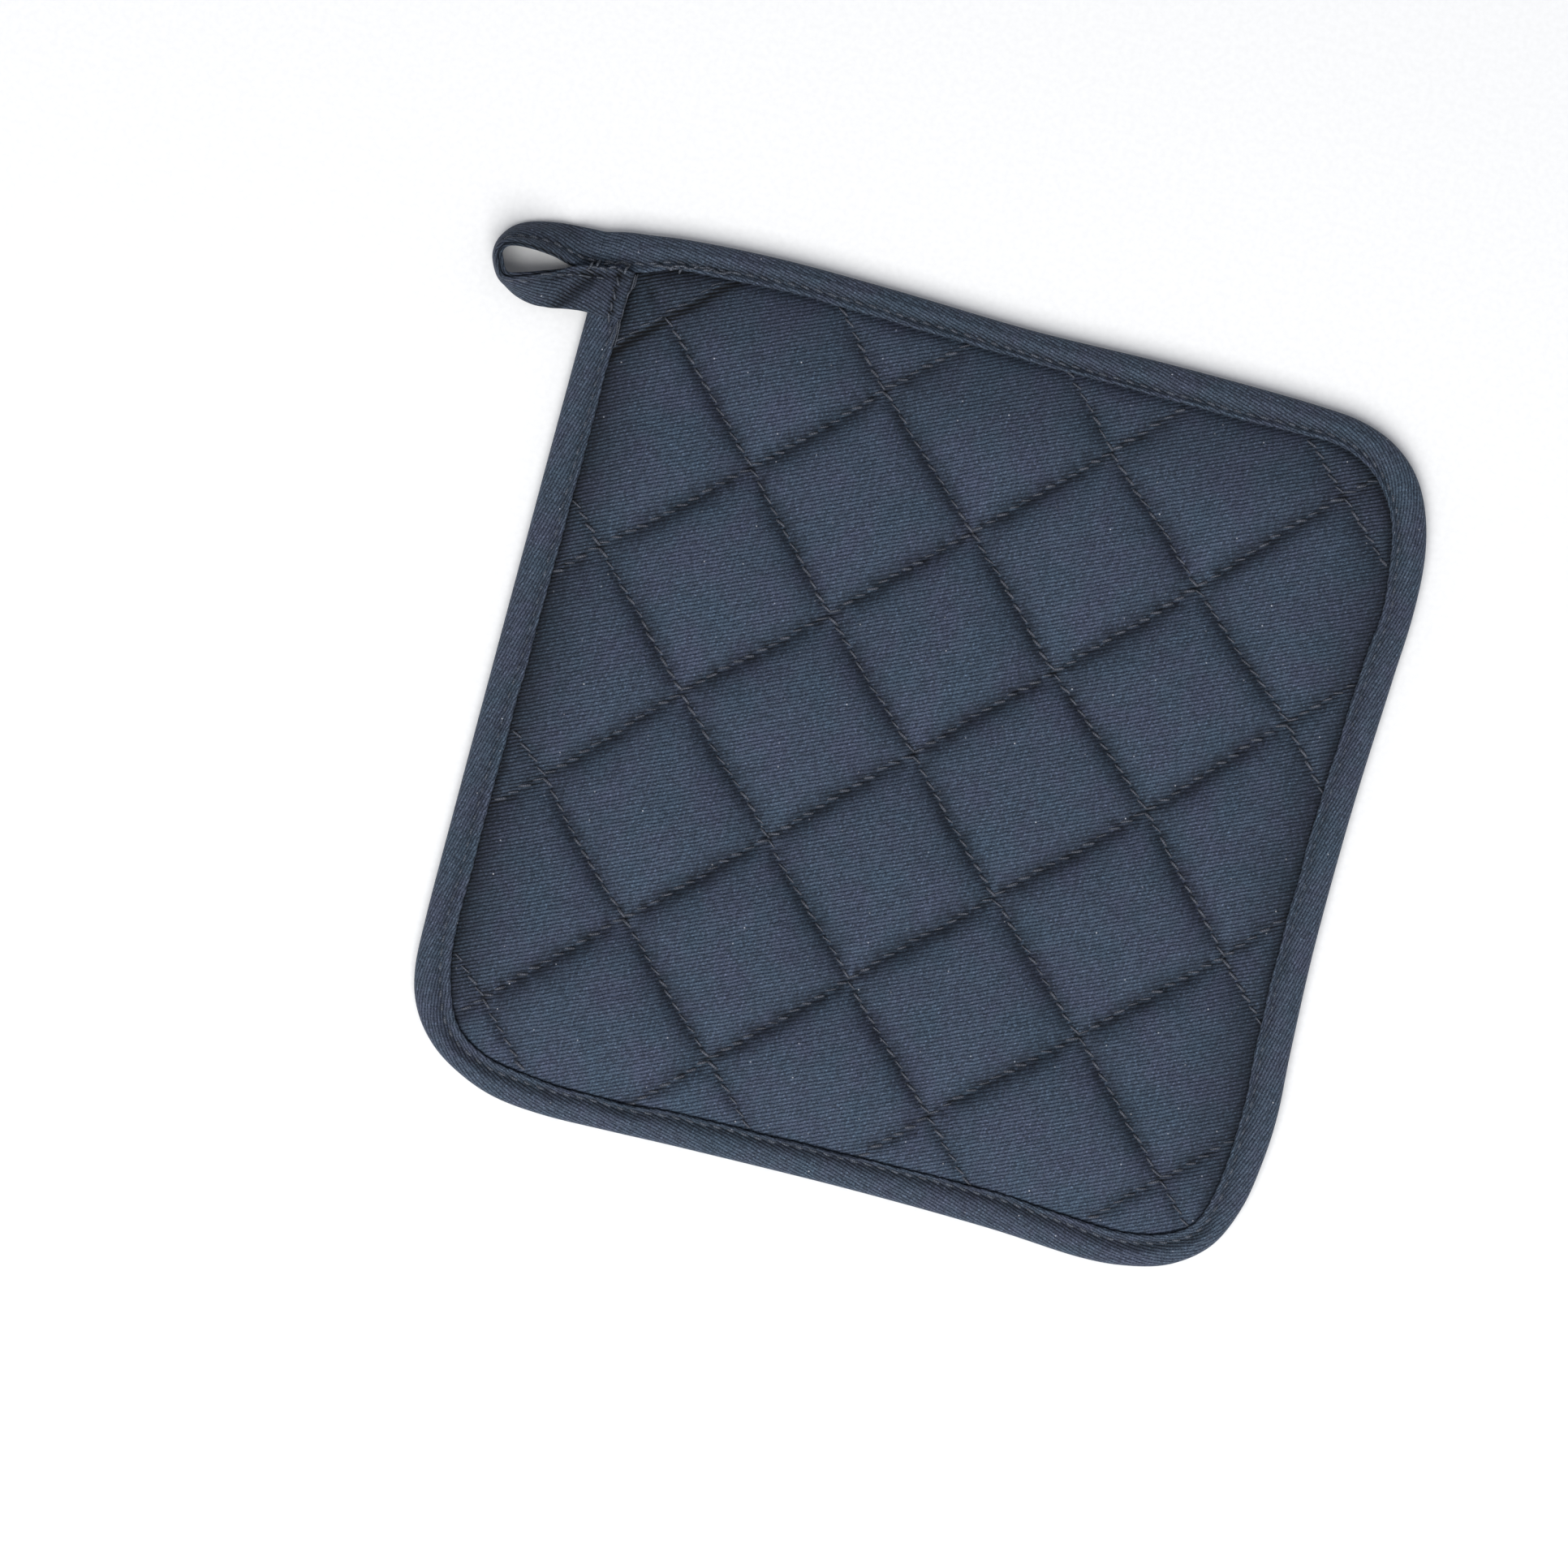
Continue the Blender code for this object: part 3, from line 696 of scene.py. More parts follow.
@dataclass
class QuiltedFront:
    """Padded face: twill over wadding, held down by two families of stitch lines."""

    outline: PadOutline
    ditch: float = 5.3           # cloth at the stitch lines, well inside the binding
    crown: float = 10.5          # middle of a square
    crisp_reach: float = 1.2     # steep part of the rise from a stitch line
    crisp_share: float = 0.2
    slow_reach: float = 4.3      # and the rounded part
    up_pull: float = 1.4         # how much tighter the lines up to the right are drawn
    edge_reach: float = 8.2      # fall of the whole pad towards the binding
    edge_tuck: float = 1.2       # and the sharper dip under its lip, in mm
    calm_lip: float = 1.2        # how much higher the cloth meets the lower lip
    seam_width: float = 0.5      # cloth pressed level by the thread, to each side
    pleat: float = 0.2           # short pleats that stand square to a stitch line
    needle: float = 0.5          # dip at a needle hole
    lap: float = 1.1             # cloth that laps over the corner line
    gather: float = 0.13         # ripples beside the binding's lip
    tucked: float = 2.6          # cloth that runs on under the binding's lap
    margin: float = 0.62         # squares that are meshed beyond the outer lines
    floor_share: float = 0.9     # hidden underside, against the plan of its rim
    steps: int = 56              # mesh lines from one stitch line to the next
    crowding: float = 0.5        # how much closer they lie beside the stitches
    stitches: int = 12           # in one side of a square
    net: np.ndarray = field(init=False)

    def __post_init__(self) -> None:
        """Spread the measured crossings to the whole pad and its margin."""
        table = np.array(CROSSINGS)
        known, places = table[:, :2], table[:, 2:]
        basis = np.column_stack([np.ones(len(known)), known])
        fit = np.linalg.lstsq(basis, places, rcond=None)[0]
        wanted = np.stack(np.meshgrid(*[np.arange(-1, LINE_COUNT + 1)] * 2, indexing="ij"), -1)
        flat = wanted.reshape(-1, 2)
        gaps = np.linalg.norm(flat[:, None] - known[None], axis=2)
        weight = 1 / (gaps + 0.02) ** 3
        spare = weight @ (places - basis @ fit) / weight.sum(axis=1, keepdims=True)
        even = np.column_stack([np.ones(len(flat)), flat]) @ fit
        self.net = (even + spare).reshape(*wanted.shape)

    def locate(self, down: np.ndarray, up: np.ndarray) -> FacePlaces:
        """Find places from fractional line numbers.

        Args:
            down: number among the lines that run down to the right.
            up: number among the lines that run up to the right.

        Returns:
            The places, with the small wander that hand-guided lines have.
        """
        row = np.clip(np.floor(down), -1, LINE_COUNT - 1).astype(int)
        column = np.clip(np.floor(up), -1, LINE_COUNT - 1).astype(int)
        s, t = (down - row)[..., None], (up - column)[..., None]
        row, column = row + 1, column + 1
        place = ((1 - s) * (1 - t) * self.net[row, column]
                 + s * (1 - t) * self.net[row + 1, column]
                 + (1 - s) * t * self.net[row, column + 1]
                 + s * t * self.net[row + 1, column + 1])
        x, y = place[..., 0], place[..., 1]
        for size, wavelength, seeds in ((0.22, 26, (3, 4)), (0.1, 9, (5, 6))):
            wander = [Unevenness(wavelength, seed).at(x, y) for seed in seeds]
            place = place + size * np.stack(wander, -1)
        depth, along = self.outline.depth(place.reshape(-1, 2))
        return FacePlaces(down, up, place[..., 0], place[..., 1],
                          depth.reshape(down.shape), along.reshape(down.shape))

    def rise(self, gap: np.ndarray, pull: float = 1.0) -> np.ndarray:
        """Share of the full height that the wadding reaches away from a line.

        Args:
            gap: distance from the line, in mm.
            pull: how tight the thread is drawn, against the plain lines.

        Returns:
            Share from 0 at the line to 1 far from it.
        """
        crisp = self.crisp_share * pull
        gap = np.hypot(gap, self.seam_width) - self.seam_width
        return 1 - (crisp * np.exp(-gap / (self.crisp_reach * pull))
                    + (1 - crisp) * np.exp(-gap / self.slow_reach))

    def level(self, face: FacePlaces) -> np.ndarray:
        """Height of the quilted face.

        Args:
            face: places on it.

        Returns:
            Height in mm above the surface that the pad lies on.
        """
        gap_down, gap_up = (np.abs(number - np.round(number)) * CELL_SIDE
                            for number in (face.down, face.up))
        rise = self.rise(gap_down) * self.rise(gap_up, pull=self.up_pull)
        # Each square is filled a little differently and its crown is not quite round
        fill = 1 - 0.025 * (1 + np.sin(2.1 * np.floor(face.down) + 3.7 * np.floor(face.up)))
        soft = (0.05 * Unevenness(34, 11).at(face.x, face.y)
                + 0.022 * Unevenness(11, 12).at(face.x, face.y))
        height = self.ditch + (self.crown - self.ditch) * rise * (fill + soft)
        for gap, run, seed in ((gap_down, face.up, 21), (gap_up, face.down, 22)):
            pleat = Unevenness(4.6, seed).at(run * CELL_SIDE, gap * 0.45 + 40 * np.floor(run))
            height += self.pleat * pleat * np.exp(-gap / 3.0) * (1 - np.exp(-gap / 0.9))
            pull = pull_of(run, 1 / self.stitches)
            height -= self.needle * pull ** 1.5 * np.exp(-gap / 1.4)
        inside = np.maximum(face.depth, 0.0)
        hard = bite(face.y)
        tuck = self.edge_tuck * (0.3 + 0.7 * hard)
        full = LIP_LEVEL + self.calm_lip * (1 - hard) * (1 - np.exp(-inside / 0.35))
        height += (full + tuck - height) * np.exp(-inside / self.edge_reach)
        height -= tuck * np.exp(-inside / self.crisp_reach)
        # The corner line is a fold: cloth from the loop's side laps over it
        beyond = face.up * CELL_SIDE
        lap = np.where(beyond < 0, np.exp(np.minimum(beyond, 0.0) / 2.5),
                       1 - ease(beyond / 0.6))
        ripple = Unevenness(4.2, 31).at(face.along) * np.exp(-np.abs(face.depth - 1.6) / 1.5)
        return height + (self.lap * lap + self.gather * ripple) * (face.depth > 0)

    def painted_shade(self, face: FacePlaces) -> np.ndarray:
        """Share of painted shade on the cloth: beside the binding, towards the upper edge,
        under the corner line's lap and along the stitch lines.

        Args:
            face: places on the quilted face.

        Returns:
            Share of painted shade, largest at the needle holes.
        """
        inside = np.maximum(face.depth, 0.0)
        left = face.x < 0
        # Painted shade beside the binding, most of all on the loop's side, close to it and
        # further in
        beside = ease((np.abs(face.x) - 62.0) / 26.0) * bite(face.y)
        shade_lost = beside * (np.where(left, 0.36, 0.18) * np.exp(-inside / 5.0)
                         + np.where(left, 0.38, 0.3) * np.exp(-inside / 13.0))
        # Painted shade towards the upper edge
        shade_lost += 0.18 * ease((face.y - 70.0) / 14.0)
        # In the shade of the corner line's lap
        beyond = face.up * CELL_SIDE
        shade_lost += 0.75 * bell(beyond - 1.0, 1.2) * (beyond > 0)
        # Painted shade along both families of lines, but less beside the corner line, and more
        # at the needle holes
        for across, run, share, first_share, seed in ((face.down, face.up, 0.2, 0.2, 23),
                                                      (face.up, face.down, 0.32, 0.1, 24)):
            line = np.round(across)
            gap = np.abs(across - line) * CELL_SIDE
            blotch = 1 + 0.7 * Unevenness(3.6, seed).at(run * CELL_SIDE, across * CELL_SIDE)
            near = np.where(line == 0, first_share, share) * blotch * bell(gap, 2.0)
            near += 0.25 * pull_of(run, 1 / self.stitches) ** 2 * bell(gap, 0.7)
            shade_lost = shade_lost + near * (1 - shade_lost)
        return shade_lost

    def build(self) -> bpy.types.Object:
        """Build the padded face as one closed mesh.

        Returns:
            The dressed piece, which stands for the front's solid.
        """
        shares = np.arange(self.steps) / self.steps
        shares = shares - self.crowding * np.sin(math.tau * shares) / math.tau
        numbers = np.concatenate([cell + shares for cell in range(-1, LINE_COUNT)])
        last = LINE_COUNT - 1
        numbers = numbers[(numbers > -self.margin) & (numbers < last + self.margin)]
        face = self.locate(*np.meshgrid(numbers, numbers, indexing="ij"))
        kept = face.depth > -self.tucked
        whole = kept[:-1, :-1] & kept[1:, :-1] & kept[:-1, 1:] & kept[1:, 1:]
        used = np.zeros(kept.shape, dtype=bool)
        for rows in (slice(-1), slice(1, None)):
            for columns in (slice(-1), slice(1, None)):
                used[rows, columns] |= whole
        number = np.full(kept.shape, -1)
        number[used] = np.arange(used.sum())
        quads = np.stack([number[:-1, :-1], number[:-1, 1:], number[1:, 1:], number[1:, :-1]],
                         -1)[whole]
        points = np.column_stack([face.x[used], face.y[used], self.level(face)[used]])
        faces = quads.tolist()
        rim = self.rim(quads)
        below = {corner: len(points) + index for index, corner in enumerate(rim)}
        skirt = points[rim] * (1, 1, 0) + (0, 0, FRONT_UNDERSIDE)
        floor = (points[rim] * (self.floor_share, self.floor_share, 0)
                 + (0, 0, BACK_CLOTH + LAYER_GAP))
        for start, end in zip(rim, rim[1:] + rim[:1]):
            first, second = below[start], below[end]
            faces.append([end, start, first, second])
            faces.append([second, first, first + len(rim), second + len(rim)])
        faces.append([below[corner] + len(rim) for corner in reversed(rim)])
        points = np.vstack([points, skirt, floor])
        shade_lost = np.concatenate([self.painted_shade(face)[used], np.zeros(2 * len(rim))])
        weave = np.column_stack([points[:, :2], shade_lost])
        piece = make_piece("padded_twill_face", points, faces, weave, FRONT_TWILL.material())
        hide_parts("quilted_front")
        return piece

    @staticmethod
    def rim(quads: np.ndarray) -> list[int]:
        """Follow the open edge of a mesh of quads.

        Args:
            quads: corner numbers of each face.

        Returns:
            Vertex numbers round the edge, in the faces' own direction.
        """
        starts = quads.ravel()
        ends = np.roll(quads, -1, axis=1).ravel()
        pairs = set(zip(starts.tolist(), ends.tolist()))
        following = {start: end for start, end in pairs if (end, start) not in pairs}
        first = next(iter(following))
        rim = [first]
        while following[rim[-1]] != first:
            rim.append(following[rim[-1]])
        return rim

    def seam_places(self, run: LineRun, line: int, travel: np.ndarray,
                    aside: np.ndarray) -> tuple[np.ndarray, FacePlaces]:
        """Places of thread on a quilting line.

        Args:
            run: family of the line.
            line: its number.
            travel: fractional number of the crossing line, for each place.
            aside: distance from the line, in mm.

        Returns:
            Positions in mm on the cloth, and the places that they lie on.
        """
        beside = line + aside / CELL_SIDE
        pair = (beside, travel) if run is LineRun.DOWN else (travel, beside)
        face = self.locate(*pair)
        return np.stack([face.x, face.y, self.level(face)], -1), face


@dataclass
class BackPanel:
    """Plain cloth of the underside, drawn up a little all round where it is sewn in."""

    outline: PadOutline
    spread: tuple[float, ...] = (1.025, 0.998, 0.985, 0.965, 0.94, 0.91, 0.88, 0.85,
                                 0.8, 0.7, 0.55, 0.35, 0.15)
    pucker: float = 0.16

    def build(self) -> bpy.types.Object:
        """Build the sheet from rings inside the binding.

        Returns:
            The dressed piece, which stands for the back's solid.
        """
        ring = smooth_rows(self.outline.lip, 3, closed=True)
        along = run_length(ring)
        layers = []
        for thick in (0.0, BACK_CLOTH):
            for scale in self.spread:
                # Level in the middle, and up to the front's underside at the seam
                lift = (BACK_CLOTH + LAYER_GAP) * ease((scale - 0.85) / 0.135)
                wave = Unevenness(6.5, 41).at(along) * bell(scale - 0.95, 0.035)
                pucker = self.pucker * (wave + 1.2) * bell(scale - 0.95, 0.05)
                layers.append(np.column_stack([ring * scale, lift + thick + pucker]))
        points = np.vstack(layers)
        number = np.arange(len(points)).reshape(2, len(self.spread), len(ring))
        quads = ring_quads(number)
        quads[1] = quads[1, ..., ::-1]
        wall = ring_quads(number[:, 0])[..., TURNED]
        faces = np.vstack([quads.reshape(-1, 4), wall.reshape(-1, 4)]).tolist()
        faces += [number[0, -1].tolist(), number[1, -1, ::-1].tolist()]
        weave = np.column_stack([-points[:, 0], points[:, 1], np.zeros(len(points))])
        piece = make_piece("plain_twill_back", points, faces, weave, BACK_TWILL.material())
        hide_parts("back_panel")
        return piece


@dataclass
class FoldedTape:
    """Run of tape folded over an edge, as arrays with one value for each section.

    The fold is the outer edge and the lip is the inner one, where the two turned-in
    hems meet. Heights are measured from the middle plane between the two faces.
    """

    fold: np.ndarray
    lip: np.ndarray
    half: np.ndarray             # height of each face
    skin: np.ndarray             # thickness of the cloth with its hem
    seam: np.ndarray             # distance from the lip to the stitch line
    along: np.ndarray            # distance along the tape
    under: np.ndarray            # share of the upper face's relief on the under one
    crest: np.ndarray            # rise between the fold and the stitch line
    groove: np.ndarray           # depth of the stitch line
    lip_rise: np.ndarray         # rise of the lip
    lift: np.ndarray             # how far the thread stands out of the groove
    seam_shade: np.ndarray            # share of painted shade beside the stitch line
    nose: float = 2.3            # rounding of the fold
    lip_round: float = 0.42      # and of the lip

    def frames(self) -> tuple[np.ndarray, np.ndarray, np.ndarray]:
        """Measure each section.

        Returns:
            Width, direction across and outward direction of the upper face.
        """
        span = self.lip - self.fold
        width = np.linalg.norm(span, axis=1)
        across = span / width[:, None]
        travel = np.gradient((self.fold + self.lip) / 2, axis=0)
        return width, across, unit(np.cross(travel, across))

    def half_profile(self, relief: np.ndarray) -> list[tuple]:
        """Outline of one face from the fold to the lip and back inside.

        Args:
            relief: share of the crest and of the raised lip that this face shows.

        Returns:
            For each corner, arrays of the distance in from the fold and the height from
            the middle, and the share of painted shade.
        """
        width = self.frames()[0]
        half, skin, edge = self.half, self.skin, self.lip_round
        seam = width - self.seam
        nose = np.minimum(self.nose, width * 0.3)
        corners = []
        for step in range(1, 7):
            turn = step / 6 * math.pi / 2
            corners.append((nose * (1 - math.cos(turn)), half * math.sin(turn) ** 0.92, 0.0))
        start = TAPE_GROOVE[0][0]
        for step in range(1, 7):
            share = step / 7
            crest = self.crest * relief * math.sin(math.pi * (0.12 + 0.88 * share)) ** 0.8
            corners.append((nose + (seam + start - nose) * share, half + crest,
                            self.seam_shade * 0.35 * (step == 6)))
        # The stitch groove, with painted shade in it and beside it
        for shift, sink, groove_shade in TAPE_GROOVE:
            reach = shift * (np.minimum(self.seam / 1.5, 1.0) if shift > 0 else 1.0)
            corners.append((seam + reach, half - self.groove * sink,
                            0.35 * sink + self.seam_shade * groove_shade))
        rise = self.lip_rise * relief
        # The lip and the inside of the tape, with painted shade under the lip
        return corners + [
            (width - np.minimum(0.85, self.seam * 0.45), half + rise * 1.25, 0.0),
            (width - edge, half + rise, 0.0),
            (width - edge * 0.28, half + rise - edge * 0.3, 0.15),
            (width, half + rise - skin * 0.5, 0.5),
            (width - edge * 0.4, half + rise * 0.6 - skin * 0.86, 0.6),
            (width - 1.0, half + rise * 0.3 - skin, 0.6),
            (seam, half - skin - 0.05, 0.6),
            (width * 0.5, half - skin, 0.6),
            (nose * 0.62, (half - skin) * 0.82, 0.6),
        ]

    def rings(self) -> tuple[np.ndarray, np.ndarray]:
        """Closed rings of section corners.

        Returns:
            Positions in mm and places on the flat tape, both by section and corner.
        """
        _, across, face = self.frames()
        zero = np.zeros(len(self.along))
        profile = [(zero, zero, zero, 0.0)]
        for side, relief in ((TapeFace.UPPER, zero + 1), (TapeFace.UNDER, self.under)):
            cloth, before, run = zero, (zero, zero), []
            for reach, height, shade_lost in self.half_profile(relief):
                cloth = cloth + np.hypot(reach - before[0], height - before[1])
                before = (reach, height)
                run.append((reach, height * side.value, cloth * side.value, shade_lost))
            profile += run[::side.value]
        places = np.stack([self.fold + across * reach[:, None] + face * height[:, None]
                           for reach, height, _, _ in profile], axis=1)
        weave = np.stack([np.stack([self.along, cloth, zero + shade_lost], -1)
                          for _, _, cloth, shade_lost in profile], axis=1)
        return places, weave

    def seam_places(self, side: TapeFace, along: np.ndarray,
                    aside: np.ndarray) -> np.ndarray:
        """Places of thread in the groove of one face.

        Args:
            side: face of the tape.
            along: distance along the tape, for each place.
            aside: distance from the groove towards the fold.

        Returns:
            Positions in mm.
        """
        width, across, face = self.frames()
        height = (self.half - self.groove + self.lift) * side.value
        base = self.fold + across * (width - self.seam)[:, None] + face * height[:, None]
        found = rows_at(np.column_stack([base, across]), self.along, along.ravel())
        place = found[:, :3] - found[:, 3:] * aside.ravel()[:, None]
        return place.reshape(*along.shape, 3)


def loft(name: str, places: np.ndarray, weave: np.ndarray,
         material: bpy.types.Material) -> bpy.types.Object:
    """Skin closed rings into one capped tube.

    Args:
        name: name of the piece.
        places: positions by section and corner.
        weave: places on the flat cloth by section and corner.
        material: finish of the piece.

    Returns:
        The piece.
    """
    number = np.arange(places[..., 0].size).reshape(places.shape[:2])
    quads = ring_quads(number)[..., TURNED].reshape(-1, 4)
    faces = quads.tolist() + [number[0].tolist(), number[-1][::-1].tolist()]
    sharp = np.zeros(number.shape, dtype=bool)
    sharp[[0, -1]] = True
    return make_piece(name, places.reshape(-1, 3), faces, weave.reshape(-1, 3), material,
                      sharp.ravel())


@dataclass
class Binding:
    """Bias tape folded over the pad's edge, from under the loop's end to its start."""

    spacing: float = 0.8         # sections of the mesh
    stitch: float = 3.3          # pitch of the stitch line
    covered_run: float = 9.0     # start that lies under the loop's end
    leaving_edge: float = 95.0   # y beyond which the tape leaves the pad
    tape: FoldedTape = field(init=False)

    def __post_init__(self) -> None:
        """Lay the tape round the pad."""
        rows = np.array([TAPE_START_ROW, *reversed(EDGE_ROWS[:TAPE_LEFT_STOP]),
                         *TAPE_CORNER_ROWS])
        dense = smooth_rows(rows, 12, closed=False)
        dense = even_rows(dense, (dense[:, :2] + dense[:, 2:]) / 2, self.spacing)
        fold, lip = dense[:, :2], dense[:, 2:]
        along = run_length((fold + lip) / 2)
        beat = np.cos(math.tau * along / self.stitch)
        # The lip is drawn in at each stitch, and reaches further in at the sides than
        # above and below, most of all on the loop's
        above = ease((lip[:, 1] - 86.0) / 6.0)
        beside = ease((np.abs(lip[:, 0]) - 84.0) / 8.0)
        beside = beside * np.where(lip[:, 0] < 0, 0.55, 0.35) - 0.15
        shift = (0.09 * beat + 0.1 * Unevenness(17, 51).at(along)
                 + beside * bite(lip[:, 1]) * (1 - 0.5 * above))
        lip = lip + unit(lip - fold) * shift[:, None]
        # The start is pressed flat under the loop's end, the end closes behind the corner
        covered = ease((self.covered_run - along) / 7.0)
        leave = pressed(fold[:, 0]) * (fold[:, 1] > self.leaving_edge)
        middle = BINDING_MIDDLE - COVERED_LOSS * covered + 0.05 * leave
        shares, insets, lifts = np.array(SEAM_ROWS).T
        inset, lift = (np.interp(along / along[-1], shares, column)
                       for column in (insets, lifts))
        self.tape = FoldedTape(
            fold=np.column_stack([fold, middle]),
            lip=np.column_stack([lip, middle]),
            half=BINDING_MIDDLE - COVERED_LOSS * covered - PRESSED_LOSS * leave,
            skin=1.0 - 0.25 * leave,
            seam=inset + 0.08 * Unevenness(23, 52).at(along),
            lift=lift,
            along=along,
            under=leave,
            crest=0.5 + 0.1 * Unevenness(13, 53).at(along),
            groove=0.78 + 0.14 * beat + 0.1 * Unevenness(9, 54).at(along),
            lip_rise=0.02 + 0.04 * beat + 0.12 * Unevenness(12, 55).at(along),
            # Painted shade beside the stitch line, most on the lower edge and some on the
            # upper
            seam_shade=0.38 * (1 - ease((lip[:, 1] - LOWER_LIP) / 6.0)) + 0.13 * above,
        )

    def build(self) -> bpy.types.Object:
        """Build the binding.

        Returns:
            The dressed piece, which stands for the binding's solid.
        """
        places, weave = self.tape.rings()
        # Painted shade along the pad's upper edge
        weave[..., 2] += 0.1 * ease((places[..., 1] - 92.0) / 6.0)
        piece = loft("bias_binding", places, weave, BINDING_TWILL.material())
        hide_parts("binding")
        return piece


@dataclass(frozen=True)
class Crease:
    """Straight crease or ridge in the loop: ends in plan, height and half width."""

    start: tuple[float, float]
    end: tuple[float, float]
    height: float
    reach: float

    def at(self, x: np.ndarray, y: np.ndarray) -> np.ndarray:
        """Height at plan positions."""
        return self.height * bell(line_distance(x, y, self.start, self.end), self.reach)


@dataclass
class HangingLoop:
    """The same tape beyond the pad: out, round on edge and back onto the left side."""

    before: FoldedTape           # tape that runs into the loop
    spacing: float = 0.5         # sections of the mesh
    stitch: float = 3.0          # pitch of the stitch line
    stands_from: float = 18.0    # run of the tape where it stands up for its turn
    lies_from: float = 40.0      # and where it lies down again
    back_run: float = 40.0       # its last stretch, flat all the way
    hem: float = 3.4             # turned-under end
    round_end: float = 0.9       # rounding of the end
    sewn_line: float = -96.7     # x of the cross stitches, and of the ridges beside them
    ridge_line: float = -94.6
    rolled_line: float = -95.2
    valley: Crease = Crease((-103.0, 89.0), (-110.5, 79.5), 2.1, 1.5)
    ridge: Crease = Crease((-105.5, 91.5), (-114.5, 80.0), 0.5, 1.8)
    slack: Crease = Crease((-112.5, 87.0), (-118.0, 79.0), 0.6, 1.4)
    drag: Crease = Crease((-110.5, 99.0), (-103.0, 91.0), 0.55, 1.6)
    holes: tuple = ((-96.7, 90.8), (-96.9, 87.3), (-96.7, 84.7), (-96.4, 82.1))
    tape: FoldedTape = field(init=False)

    def __post_init__(self) -> None:
        """Lay the tape out and back."""
        dense = smooth_rows(np.array(LOOP_ROWS), 12, closed=False)
        fold, lip = dense[:, :3], dense[:, 3:]
        plan = np.linalg.norm(lip - fold[:, :2], axis=1)
        rise = np.sqrt(np.maximum(LOOP_WIDTH ** 2 - plan ** 2, 0.0))
        # Cloth goes from lying flat to standing on edge gradually
        blend = np.hanning(19)[1:-1]
        padded = np.pad(rise, len(blend) // 2, mode="edge")
        rise = np.convolve(padded, blend / blend.sum(), mode="valid")
        rise *= ease(np.arange(len(rise)) / 9)
        rows = np.column_stack([dense, fold[:, 2] + rise])
        rows = even_rows(rows, (rows[:, :3] + rows[:, 3:]) / 2, self.spacing)
        fold, lip = rows[:, :3], rows[:, 3:]
        travel = run_length((fold + lip) / 2)
        left = travel[-1] - travel
        leave = np.where(left > self.back_run, pressed(fold[:, 0]), 1.0)
        rounded = np.sqrt(np.clip(1 - (1 - left / self.round_end) ** 2, 0.02, 1.0))
        rounded = np.where(left < self.round_end, rounded, 1.0)
        half = BINDING_MIDDLE - PRESSED_LOSS * leave + 0.28 * ease((self.hem - left) / 0.8)
        half *= rounded
        beat = np.cos(math.tau * travel / self.stitch)
        loose = Unevenness(11, 62).at(travel)
        fade = ease(left / 6.0)
        self.tape = FoldedTape(
            fold=fold, lip=lip, half=half,
            skin=np.minimum(1.0 - 0.1 * leave, half * (0.9 + 0.08 * leave)),
            seam=np.interp(travel, (0, 8, 16, 28, 40, 60, travel[-1]),
                           (2.4, 2.7, 2.8, 2.2, 1.8, 1.9, 1.5)),
            along=self.before.along[-1] + travel,
            under=leave,
            crest=0.5 - 0.25 * leave + 0.05 * loose,
            groove=np.minimum((0.78 - 0.3 * leave + 0.1 * beat) * fade, half * 0.7),
            lip_rise=0.02 + 0.04 * leave + 0.05 * loose * fade,
            lift=np.full(len(travel), 0.14),
            seam_shade=np.zeros(len(travel)),
        )
        # The section starts just as the tape before it ends
        close = 1 - ease(travel / 6.0)
        for name in ("half", "skin", "seam", "crest", "groove", "lip_rise", "seam_shade"):
            values = getattr(self.tape, name)
            values += (getattr(self.before, name)[-1] - values[0]) * close

    def build(self) -> bpy.types.Object:
        """Build the loop with the creases it took from hanging.

        Returns:
            The dressed piece, which stands for the loop's solid.
        """
        places, weave = self.tape.rings()
        x, y = places[..., 0], places[..., 1]
        travel = weave[..., 0] - self.before.along[-1]
        early = 1 - ease((travel - self.stands_from) / 8)
        late = ease((travel - self.lies_from) / 8)
        valley, drag = self.valley.at(x, y), self.drag.at(x, y)
        sewn = bell(x - self.sewn_line, 0.6)
        # The rolled hem beside the cross stitches is lumpy
        lumps = 0.2 * bell(x - self.rolled_line, 0.9) * Unevenness(1.7, 63).at(x * 0.3, y)
        places[..., 2] += late * (self.ridge.at(x, y) - valley - self.slack.at(x, y)
                                  - 0.75 * sewn + 0.45 * bell(x - self.ridge_line, 0.7)
                                  + lumps) - early * drag
        # Where the tape stands on edge its hem is seen from above, in full light
        weave[..., 2] *= 1 - 0.8 * bell(travel - 29.0, 12.0)
        # The loop is made darker than the binding from its start on
        weave[..., 2] += 0.1 + 0.28 * ease(travel / 12)
        # Painted shade in the valley, the drag crease and along the cross seam
        weave[..., 2] += late * (0.2 * valley + 0.2 * sewn) + early * 0.3 * drag
        # Needle holes of the cross seam: a dip, with painted shade in it
        for hole_x, hole_y in self.holes:
            hole = late * bell(np.hypot(x - hole_x, y - hole_y), 0.6)
            places[..., 2] -= 0.35 * hole
            weave[..., 2] += 0.8 * hole
        piece = loft("bias_loop", places, weave, LOOP_TWILL.material())
        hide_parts("hanging_loop")
        return piece


